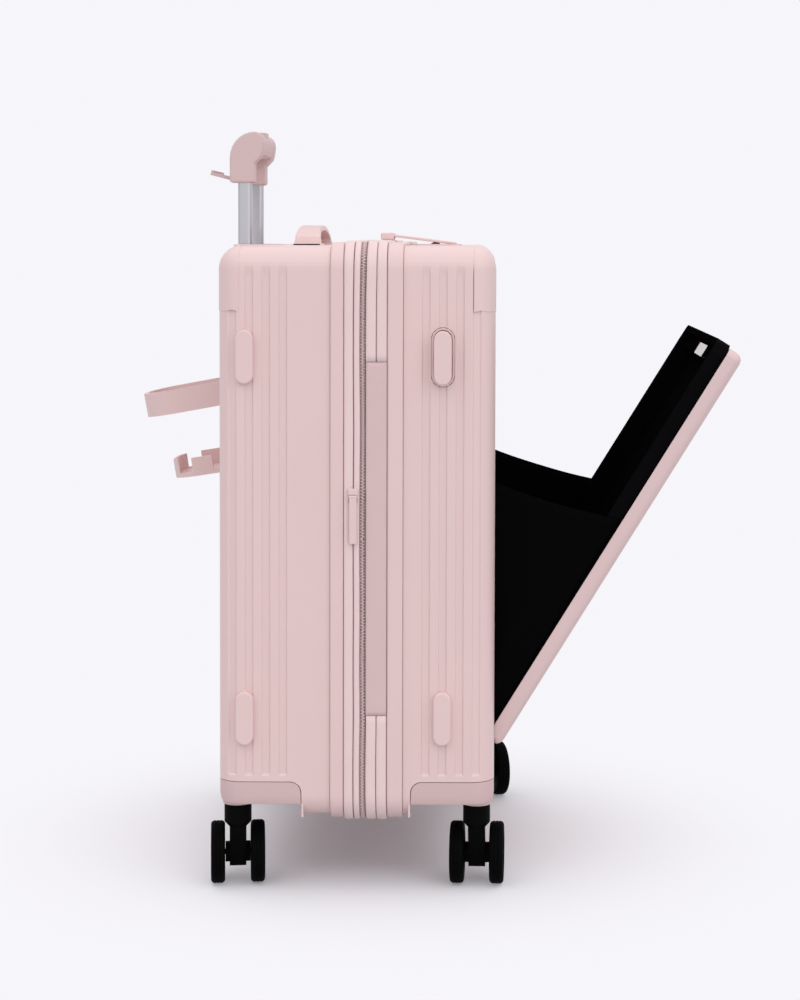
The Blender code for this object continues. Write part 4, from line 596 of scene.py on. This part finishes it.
# Zip tapes.
# Woven polyester tapes turned over a soft core and sewn round the case, with a groove in the
# middle band for the zip, and the gathered cloth of the expansion hidden under them.
TAPE_PINK = (0.82, 0.635, 0.625, 1)
TAPE_BASE, TAPE_CROWN = -0.4, 4.5
TAPE_REAR, TAPE_FRONT = -10.1, 26.0


def weave_group():
    """Woven cloth on a piece's own UV in metres: ribs across, threads along, and slow changes of shade."""
    group, inside, result, _ = node_group("tape_weave", "ShaderNodeTree", {
        "Colour": ("Color", (0.5, 0.5, 0.5, 1)),
        "Ribs": ("Float", 900.0),
        "Shade": ("Float", 0.06),
    }, GRAINED)
    given = inside.outputs
    place = group.nodes.new("ShaderNodeTexCoord")
    split = wired(group, "ShaderNodeSeparateXYZ", {0: place.outputs["UV"]})
    waves = []
    for axis, share in (("X", 1.0), ("Y", 1.7)):
        scaled = maths(group, "MULTIPLY", split.outputs[axis], given["Ribs"])
        waves.append(maths(group, "SINE", maths(group, "MULTIPLY", scaled, share * math.tau)))
    cloth = maths(group, "MULTIPLY_ADD", waves[0], waves[1], 0.0)
    fuzz = wired(group, "ShaderNodeTexNoise", {"Vector": place.outputs["Object"], "Scale": 1400})
    height = maths(group, "MULTIPLY_ADD", cloth, 0.5, fuzz.outputs["Fac"])
    broad = wired(group, "ShaderNodeTexNoise", {"Vector": place.outputs["Object"], "Scale": 38, "Detail": 3})
    centred = maths(group, "SUBTRACT", broad.outputs["Fac"], 0.5)
    spread = maths(group, "MULTIPLY_ADD", centred, given["Shade"], 1.0)
    grain = maths(group, "MULTIPLY_ADD", cloth, 0.025, spread)
    tint = wired(group, "ShaderNodeVectorMath", {0: given["Colour"], "Scale": grain}, operation="SCALE")
    rough = maths(group, "MULTIPLY_ADD", fuzz.outputs["Fac"], 0.2, 0.72)
    group.links.new(height, result.inputs["Height"])
    group.links.new(tint.outputs[0], result.inputs["Colour"])
    group.links.new(rough, result.inputs["Roughness"])
    return group


tape_weave = weave_group()


def woven(name, colour, ribs=900):
    """A woven finish: the weave gives its colour, gloss and bump."""
    material, shader = grained(name, tape_weave, {"Colour": colour, "Ribs": ribs}, 0.00012, 0.6)
    shader.inputs["Sheen Weight"].default_value = 0.25
    shader.inputs["Specular IOR Level"].default_value = 0.3
    return material


def case_path(leave, back):
    """Places round the case and the way out at each: down the near side, round, and up to a height."""
    spacing, corner = 6.0, 12
    places = []
    inner = HALF - ROUND

    def straight(a, b, away):
        count = max(1, round((Vector(b) - Vector(a)).length / spacing))
        places.extend((Vector(a).lerp(Vector(b), i / count), Vector(away)) for i in range(count))

    def turn(u, v, start):
        for i in range(corner):
            angle = math.radians(start + 90 * i / corner)
            away = Vector((math.cos(angle), math.sin(angle)))
            places.append((Vector((u, v)) + away * ROUND, away))

    straight((-HALF, leave), (-HALF, LOW + ROUND), (-1, 0))
    turn(-inner, LOW + ROUND, 180)
    straight((-inner, LOW), (inner, LOW), (0, -1))
    turn(inner, LOW + ROUND, 270)
    straight((HALF, LOW + ROUND), (HALF, TOP - ROUND), (1, 0))
    turn(inner, TOP - ROUND, 0)
    straight((inner, TOP), (-inner, TOP), (0, 1))
    turn(-inner, TOP - ROUND, 90)
    straight((-HALF, TOP - ROUND), (-HALF, back), (-1, 0))
    if leave != back:
        places.append((Vector((-HALF, back)), Vector((-1, 0))))
    return places


def soft_shift(x, height, place, softness):
    """Where sewn tape lies, as it wanders sideways and in and out. It keeps still by the frames."""
    share = math.sin(math.pi * min(max((x - TAPE_REAR) / (TAPE_FRONT - TAPE_REAR), 0), 1)) * softness
    near_top = 0.45 + 0.55 * ease((place.y - 430) / 90)
    side = noise.noise(Vector((place.x / 60, place.y / 60, 3.7))) * 1.3 * share * near_top
    proud = noise.noise(Vector((place.x / 34, place.y / 34, 9.1 + x / 9))) * 0.5 * softness * near_top
    return x + side, height + min(proud, 0.1)


def sweep(work, section, path, closed, softness=1.0):
    """Adds a band with that cross-section, drawn round the path, with its own UV in metres."""
    layer = work.loops.layers.uv.verify()
    rows, along, across = [], [0.0], [0.0]
    for i, (place, away) in enumerate(path):
        row = []
        for x, height in section:
            x, height = soft_shift(x, height, place, softness)
            point = place + away * height
            row.append(work.verts.new((x, point.x, point.y)))
        rows.append(row)
        following = path[(i + 1) % len(path)][0]
        along.append(along[-1] + (following - place).length / 1000)
    for j, (x, height) in enumerate(section):
        x1, height1 = section[(j + 1) % len(section)]
        across.append(across[-1] + math.hypot(x1 - x, height1 - height) / 1000)
    for i in range(len(path) if closed else len(path) - 1):
        this, following = rows[i], rows[(i + 1) % len(path)]
        for j in range(len(section)):
            k = (j + 1) % len(section)
            face = work.faces.new((this[j], this[k], following[k], following[j]))
            face.smooth = True
            for loop, (u, v) in zip(face.loops, ((i, j), (i, j + 1), (i + 1, j + 1), (i + 1, j))):
                loop[layer].uv = (along[u], across[v])
    if not closed:
        work.faces.new(rows[0])
        work.faces.new(rows[-1][::-1])


def roll(x0, x1, shoulder):
    """Cross-section of a tape turned over its core: soft shoulders and a slightly crowned middle."""
    base, crown = TAPE_BASE, TAPE_CROWN
    points = [(x0, base), (x0, crown - shoulder)]
    turns = []
    for i in range(1, 5):
        angle = math.radians(90 * i / 5)
        turns.append((shoulder * (1 - math.cos(angle)), crown - shoulder + shoulder * 0.93 * math.sin(angle)))
    points += [(x0 + inset, height) for inset, height in turns]
    points.append(((x0 + x1) / 2, crown))
    points += [(x1 - inset, height) for inset, height in reversed(turns)]
    return points + [(x1, crown - shoulder), (x1, base)]


tape_finish = woven("woven_zip_tape", TAPE_PINK)
whole = case_path(305, 305)
HINGE_FOOT, HINGE_HEAD = 155.0, 456.0
opened = case_path(HINGE_FOOT - 0.4, HINGE_HEAD + 0.4)

work = bmesh.new()
sweep(work, roll(TAPE_REAR, -2.4, 1.8), whole, True)
tape = piece_from(work, "rear_zip_tape", tape_finish, "rear_case")
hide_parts("expansion_tape")

work = bmesh.new()
groove = [(3.2, 2.6), (3.3, 0.4), (8.2, 0.4), (8.2, TAPE_BASE)]
band = roll(-1.8, 3.2, 1.7)[:-2] + groove
sweep(work, band, whole, True)
sweep(work, roll(8.5, 17.1, 1.8), opened, False)
tape = piece_from(work, "middle_zip_tape", tape_finish, "zip_middle")
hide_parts("centre_band")

work = bmesh.new()
sweep(work, roll(17.5, TAPE_FRONT, 1.8), opened, False)
tape = piece_from(work, "front_zip_tape", tape_finish, "front_case")
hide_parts("front_tape")

work = bmesh.new()
folds = 8
ridge = [(-9.1 + 24.2 * i / (2 * folds), -0.9 if i % 2 else -2.0) for i in range(2 * folds + 1)]
sweep(work, ridge + [(x, height - 0.6) for x, height in reversed(ridge)], whole, True, 0)
fold = piece_from(work, "expansion_fold_cloth", tape_finish, None)
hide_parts("expansion_fold")
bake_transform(fold)


# Zip coil and stitching.
# Small like pieces at an even pitch along a line: the coil of the zip in its groove, and the
# thread that sews a panel down.
def row_tree():
    """Blocks at an even pitch along a line of edges, each turned with the line; alternate ones step aside."""
    tree, inside, result, sockets = node_group("row_of_blocks", "GeometryNodeTree", {
        "Geometry": ("Geometry", None),
        "Pitch": ("Float", 0.00125),
        "Size": ("Vector", (0.003, 0.0012, 0.0009)),
        "Step aside": ("Float", 0.0007),
        "Side": ("Vector", (1, 0, 0)),
        "Finish": ("Material", None),
    }, {"Geometry": "Geometry"})
    given = inside.outputs
    curve = wired(tree, "GeometryNodeMeshToCurve", {0: given["Geometry"]})
    points = wired(tree, "GeometryNodeCurveToPoints", {
        0: curve.outputs[0], "Length": given["Pitch"],
    }, mode="LENGTH")
    lengthwise = wired(tree, "FunctionNodeAlignRotationToVector", {
        "Vector": points.outputs["Tangent"],
    }, axis="Z")
    sideways = wired(tree, "FunctionNodeAlignRotationToVector", {
        "Rotation": lengthwise.outputs[0], "Vector": given["Side"],
    }, axis="X", pivot_axis="Z")
    index = tree.nodes.new("GeometryNodeInputIndex")
    signed = maths(tree, "SUBTRACT", maths(tree, "MODULO", index.outputs[0], 2), 0.5)
    step = maths(tree, "MULTIPLY", signed, given["Step aside"])
    aside = wired(tree, "ShaderNodeVectorMath", {0: given["Side"], "Scale": step}, operation="SCALE")
    moved = wired(tree, "GeometryNodeSetPosition", {"Geometry": points.outputs[0], "Offset": aside.outputs[0]})
    cube = wired(tree, "GeometryNodeMeshCube", {"Size": given["Size"]})
    placed = wired(tree, "GeometryNodeInstanceOnPoints", {
        "Points": moved.outputs[0], "Instance": cube.outputs["Mesh"], "Rotation": sideways.outputs[0],
    })
    real = wired(tree, "GeometryNodeRealizeInstances", {0: placed.outputs[0]})
    painted = wired(tree, "GeometryNodeSetMaterial", {"Geometry": real.outputs[0], "Material": given["Finish"]})
    tree.links.new(painted.outputs[0], result.inputs[0])
    return tree, sockets


row_of_blocks, row_sockets = row_tree()


def row(name, lines, material, body, slot, **sizes):
    """A row of small blocks along each line of places, as one mesh on one body."""
    mesh = bpy.data.meshes.new(name)
    places, edges = [], []
    for line, closed in lines:
        first = len(places)
        places += [at(*place) for place in line]
        edges += [(first + i, first + i + 1) for i in range(len(line) - 1)]
        if closed:
            edges.append((first + len(line) - 1, first))
    mesh.from_pydata(places, edges, [])
    piece = bpy.data.objects.new(name, mesh)
    made = piece.modifiers.new("row", "NODES")
    made.node_group = row_of_blocks
    for label, value in sizes.items():
        made[row_sockets[label.replace("_", " ").capitalize()]] = value
    made[row_sockets["Finish"]] = material
    bpy.context.scene.collection.objects.link(piece)
    view = bpy.context.evaluated_depsgraph_get()
    mesh = bpy.data.meshes.new_from_object(piece.evaluated_get(view))
    piece.modifiers.clear()
    piece.data = mesh
    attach(piece, body)


def round_line(x, height, path):
    """A line round the case that wanders with the tape."""
    line = []
    for place, away in path:
        moved, proud = soft_shift(x, height, place, 1.0)
        point = place + away * proud
        line.append((moved, point.x, point.y))
    return line


coil_finish = moulded("zip_coil_nylon", (0.70, 0.53, 0.525, 1), 0.55, scale=1500)
thread_finish = moulded("sewing_thread", (0.66, 0.49, 0.49, 1), 0.8, scale=2500)
row("zip_coil", [(round_line(5.8, 2.1, whole), True)], coil_finish, "zip_middle", "zip_tape",
    pitch=0.00135, size=(0.0024, 0.0030, 0.0009), step_aside=0.0011)


# Cloth hinge.
# A doubled strip of the same cloth that joins the two halves on the near side, sewn down along
# both of its long edges.
HINGE_START, HINGE_WIDE, HINGE_TALL = 8.5, 17.6, HINGE_HEAD - HINGE_FOOT
work = bmesh.new()
layer = work.loops.layers.uv.verify()
columns, lines = 10, 76
skin = []
for back_layer in (0, 1):
    grid = []
    for i in range(lines + 1):
        z = HINGE_FOOT + HINGE_TALL * i / lines
        row_here = []
        for j in range(columns + 1):
            x = HINGE_START + HINGE_WIDE * j / columns
            edge = min(j, columns - j) / columns
            crown = 4.4 - 0.5 * (1 - ease(edge / 0.12)) - 0.25 * (1 - ease(min(i, lines - i) / 1.5))
            crown += 0.18 * noise.noise(Vector((x / 14, z / 45, 2.2)))
            row_here.append(work.verts.new((x, -HALF - (crown if not back_layer else 1.2), z)))
        grid.append(row_here)
    skin.append(grid)
for back_layer, grid in enumerate(skin):
    for i in range(lines):
        for j in range(columns):
            face = work.faces.new((grid[i][j], grid[i][j + 1], grid[i + 1][j + 1], grid[i + 1][j]))
            face.smooth = True
            for loop, (u, v) in zip(face.loops, ((i, j), (i, j + 1), (i + 1, j + 1), (i + 1, j))):
                loop[layer].uv = (HINGE_TALL / 1000 * u / lines, HINGE_WIDE / 1000 * v / columns)
outer, inner = skin
for i in range(lines):
    for j in (0, columns):
        work.faces.new((outer[i][j], outer[i + 1][j], inner[i + 1][j], inner[i][j]))
for j in range(columns):
    for i in (0, lines):
        work.faces.new((outer[i][j], outer[i][j + 1], inner[i][j + 1], inner[i][j]))
hinge_cloth = woven("hinge_cloth", (0.70, 0.515, 0.515, 1), ribs=1100)
hinge = piece_from(work, "hinge_panel", hinge_cloth, None)
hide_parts("fabric_hinge")
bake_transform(hinge)
for name, x, body in (
    ("hinge_stitching_rear", 10.0, "zip_middle"),
    ("hinge_stitching_front", 24.6, "front_case"),
):
    row(name, [([(x, -186.0, z) for z in (157.5, 453.5)], False)], thread_finish, body, "zip_tape",
        pitch=0.0032, size=(0.0005, 0.0005, 0.0023), step_aside=0.0)


# Casters.
# Each twin wheel is a dished nylon hub in a smooth tyre with two fine grooves, and the fork is
# one black nylon moulding. The profile below is radius and half width, from the bore outwards.
black_finish = moulded("black_nylon", (0.0022, 0.0022, 0.0025, 1), 0.55, scale=1500)
tyre_finish = moulded("black_tyre", (0.0020, 0.0020, 0.0022, 1), 0.7, scale=1800, depth=0.00006)
for dark in (black_finish, tyre_finish):
    dark.node_tree.nodes["Principled BSDF"].inputs["Specular IOR Level"].default_value = 0.03
joints = {joint["child"]: joint for joint in frame["joints"]}
WHEEL_SIDE = [
    (2.8, 5.3), (5.8, 5.3), (6.6, 4.4), (7.4, 3.7), (15.0, 3.7), (16.0, 4.3),
    (16.8, 5.4), (17.8, 6.0), (18.8, 6.1), (23.4, 6.1), (24.6, 5.9), (25.6, 5.2),
    (26.25, 4.2), (26.6, 3.0), (26.6, 1.9), (26.2, 1.7), (26.2, 1.3), (26.6, 1.1),
]


def wheel(body):
    """A wheel turned about the axle that its body turns on."""
    steps = 64
    hub = Vector(joints[body]["pos_m"])
    axle = Vector(joints[body]["axis"]).normalized()
    up = Vector((0, 0, 1))
    side = axle.cross(up).normalized()
    profile = WHEEL_SIDE + [(radius, -half) for radius, half in reversed(WHEEL_SIDE)]
    work = bmesh.new()
    rings = []
    for i in range(steps):
        turn = math.tau * i / steps
        way = side * math.cos(turn) + up * math.sin(turn)
        rings.append([work.verts.new(hub + (way * radius + axle * half) / 1000) for radius, half in profile])
    for i in range(steps):
        this, following = rings[i], rings[(i + 1) % steps]
        for j in range(len(profile)):
            k = (j + 1) % len(profile)
            work.faces.new((this[j], this[k], following[k], following[j])).smooth = True
    bmesh.ops.recalc_face_normals(work, faces=work.faces)
    mesh = bpy.data.meshes.new(body + "_tyre")
    work.to_mesh(mesh)
    work.free()
    mesh.materials.append(tyre_finish)
    mesh.set_sharp_from_angle(angle=math.radians(50))
    piece = bpy.data.objects.new(body + "_tyre", mesh)
    bpy.context.scene.collection.objects.link(piece)
    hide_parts(body)
    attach(piece, body)


for end in ("rear", "front"):
    for side in ("near", "far"):
        finished(f"{end}_{side}_fork", black_finish, edge=0.0009, steps=3)
        for hand in ("left", "right"):
            wheel(f"{end}_{side}_wheel_{hand}")


# Pull handle.
# Two drawn aluminium tubes telescope in the back. The grip, its button, the phone rest and the
# bezel round the tubes are moulded.
grip_finish = moulded("grip_moulding", (0.63, 0.465, 0.465, 1), 0.55, scale=1400, depth=0.00004)


def drawn_tube(name, colour, roughness):
    """Anodised aluminium with fine lines along the draw."""
    material = moulded(name, colour, roughness, scale=900, depth=0.000008, metallic=0.9)
    tree = material.node_tree
    place = tree.nodes.new("ShaderNodeTexCoord")
    drawn = wired(tree, "ShaderNodeMapping", {"Vector": place.outputs["Object"], "Scale": (1500, 1500, 4)})
    lines = wired(tree, "ShaderNodeTexNoise", {"Vector": drawn.outputs[0], "Scale": 1.0, "Detail": 3})
    shade = wired(tree, "ShaderNodeMapRange", {"Value": lines.outputs["Fac"], "To Min": 0.9, "To Max": 1.08})
    grain = next(node for node in tree.nodes if node.bl_idname == "ShaderNodeGroup")
    bump = next(node for node in tree.nodes if node.bl_idname == "ShaderNodeBump")
    tint = wired(tree, "ShaderNodeVectorMath", {
        0: grain.outputs["Colour"], "Scale": shade.outputs[0],
    }, operation="SCALE")
    tree.links.new(tint.outputs[0], tree.nodes["Principled BSDF"].inputs["Base Color"])
    tree.links.new(lines.outputs["Fac"], bump.inputs["Height"])
    return material


tube_finish = drawn_tube("drawn_aluminium", (0.49, 0.49, 0.515, 1), 0.38)
for node in ("inner_tube_near", "inner_tube_far", "outer_tube_near", "outer_tube_far"):
    finished(node, tube_finish, edge=0.0006)
finished("tube_bracket", black_finish, edge=0.0003)
finished("grip", grip_finish, edge=0.0014, steps=4)
for node in ("release_button", "phone_rest"):
    finished(node, grip_finish, edge=0.0006, steps=3)
finished("trolley_bezel", trim_finish, edge=0.0006)


# Carry handle, cup holder, bag hook, zip pulls and lock.
# Matt mouldings in the case's pink. The dials and the lock's button are black nylon, and a thin
# black strip at the outer end of each of the carry handle's sockets is painted shadow of a recess there.
for node in ("carry_socket_near", "carry_socket_far", "hook_socket", "cup_plate", "expansion_slider"):
    finished(node, trim_finish, edge=0.0004)
finished("lock_body", trim_finish, edge=0.0004, merge=False)
for node in ("bag_hook", "zip_sliders", "expansion_pull", "pull_tab_near", "pull_tab_far"):
    finished(node, trim_finish, edge=0.0006, steps=3)
for node in ("cup_ring", "cup_tray"):
    finished(node, trim_finish, edge=0.0013, steps=4, merge=False)
finished("carry_handle", trim_finish, edge=0.0013, steps=4)
for node in ("lock_button", "lock_dial_1", "lock_dial_2", "lock_dial_3"):
    finished(node, black_finish, edge=0.0002)
# Each strip is a flat black piece standing in for the shadow in a recess: painted shadow, not a real slot.
for name, y in (("near", -73.25), ("far", 73.25)):
    work = bmesh.new()
    depths = sorted((y, y - math.copysign(1.0, y)))
    prism(work, round_box((-63.0, -39.5), (554.15, 555.15), 0.4), "XZ", *depths)
    piece_from(work, f"carry_socket_painted_shadow_{name}", black_finish, "rear_case")


# Laptop compartment.
# A box lined in black cloth behind the door, a gloss black frame in the door with a steel latch,
# and a cloth gusset on each side. The frame's gloss fades where it is seen at a low angle.
rail_finish = moulded("black_gloss_frame", (0.0025, 0.0025, 0.003, 1), 0.22, scale=400, depth=0.00001)
tree = rail_finish.node_tree
shader = tree.nodes["Principled BSDF"]
shader.inputs["IOR"].default_value = 1.12
glance = tree.nodes.new("ShaderNodeLayerWeight")
fade = wired(tree, "ShaderNodeMapRange", {
    "Value": glance.outputs["Facing"], "From Min": 0.40, "From Max": 0.85, "To Min": 0.2, "To Max": 0.0,
})
tree.links.new(fade.outputs["Result"], shader.inputs["Specular IOR Level"])
steel_finish = moulded("polished_steel", (0.55, 0.50, 0.50, 1), 0.22, scale=600, depth=0.00001, metallic=1.0)
finished("door_frame", rail_finish, edge=0.0007, merge=False)
for node in ("door_pin", "door_latch"):
    finished(node, steel_finish, edge=0.0003)
cloth_finish = moulded("black_lining_cloth", (0.002, 0.002, 0.0022, 1), 0.95, scale=2600, depth=0.0002)
cloth_finish.node_tree.nodes["Principled BSDF"].inputs["Specular IOR Level"].default_value = 0.02
for node in ("rear_lining", "laptop_box"):
    finished(node, cloth_finish, edge=0)


GUSSET_BACK, GUSSET_SIDE = 100.5, 148.0


def gusset(name, side):
    """A pleated panel of cloth between the case's opening and the door."""
    count = 28
    low_case, high_case = Vector((GUSSET_BACK, 139)), Vector((GUSSET_BACK, 356))
    low_door, high_door = Vector((115.5, 138.6)), Vector((226.5, 318))
    work = bmesh.new()
    skins = []
    for shift in (-0.3, 0.3):
        grid = []
        for i in range(count + 1):
            rise = i / count
            line = []
            for j in range(count + 1):
                across = j / count
                place = low_case.lerp(high_case, rise).lerp(low_door.lerp(high_door, rise), across)
                fold = 1.1 * math.cos(across * math.pi * 4)
                pleat = fold * ease(rise * 4) * ease(min(across, 1 - across) * 8)
                sag = -3 * math.sin(across * math.pi) * ease((rise - 0.7) / 0.3)
                line.append(work.verts.new((place.x, side * (GUSSET_SIDE + pleat + shift), place.y + sag)))
            grid.append(line)
        skins.append(grid)
    for grid in skins:
        for i in range(count):
            for j in range(count):
                work.faces.new((grid[i][j], grid[i][j + 1], grid[i + 1][j + 1], grid[i + 1][j])).smooth = True
    inner, outer = skins
    for i in range(count):
        for j in (0, count):
            work.faces.new((inner[i][j], inner[i + 1][j], outer[i + 1][j], outer[i][j]))
            work.faces.new((inner[j][i], inner[j][i + 1], outer[j][i + 1], outer[j][i]))
    piece = piece_from(work, name + "_cloth", cloth_finish, "front_case")
    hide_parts(name)
    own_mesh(piece)


gusset("gusset_near", -1)
gusset("gusset_far", 1)
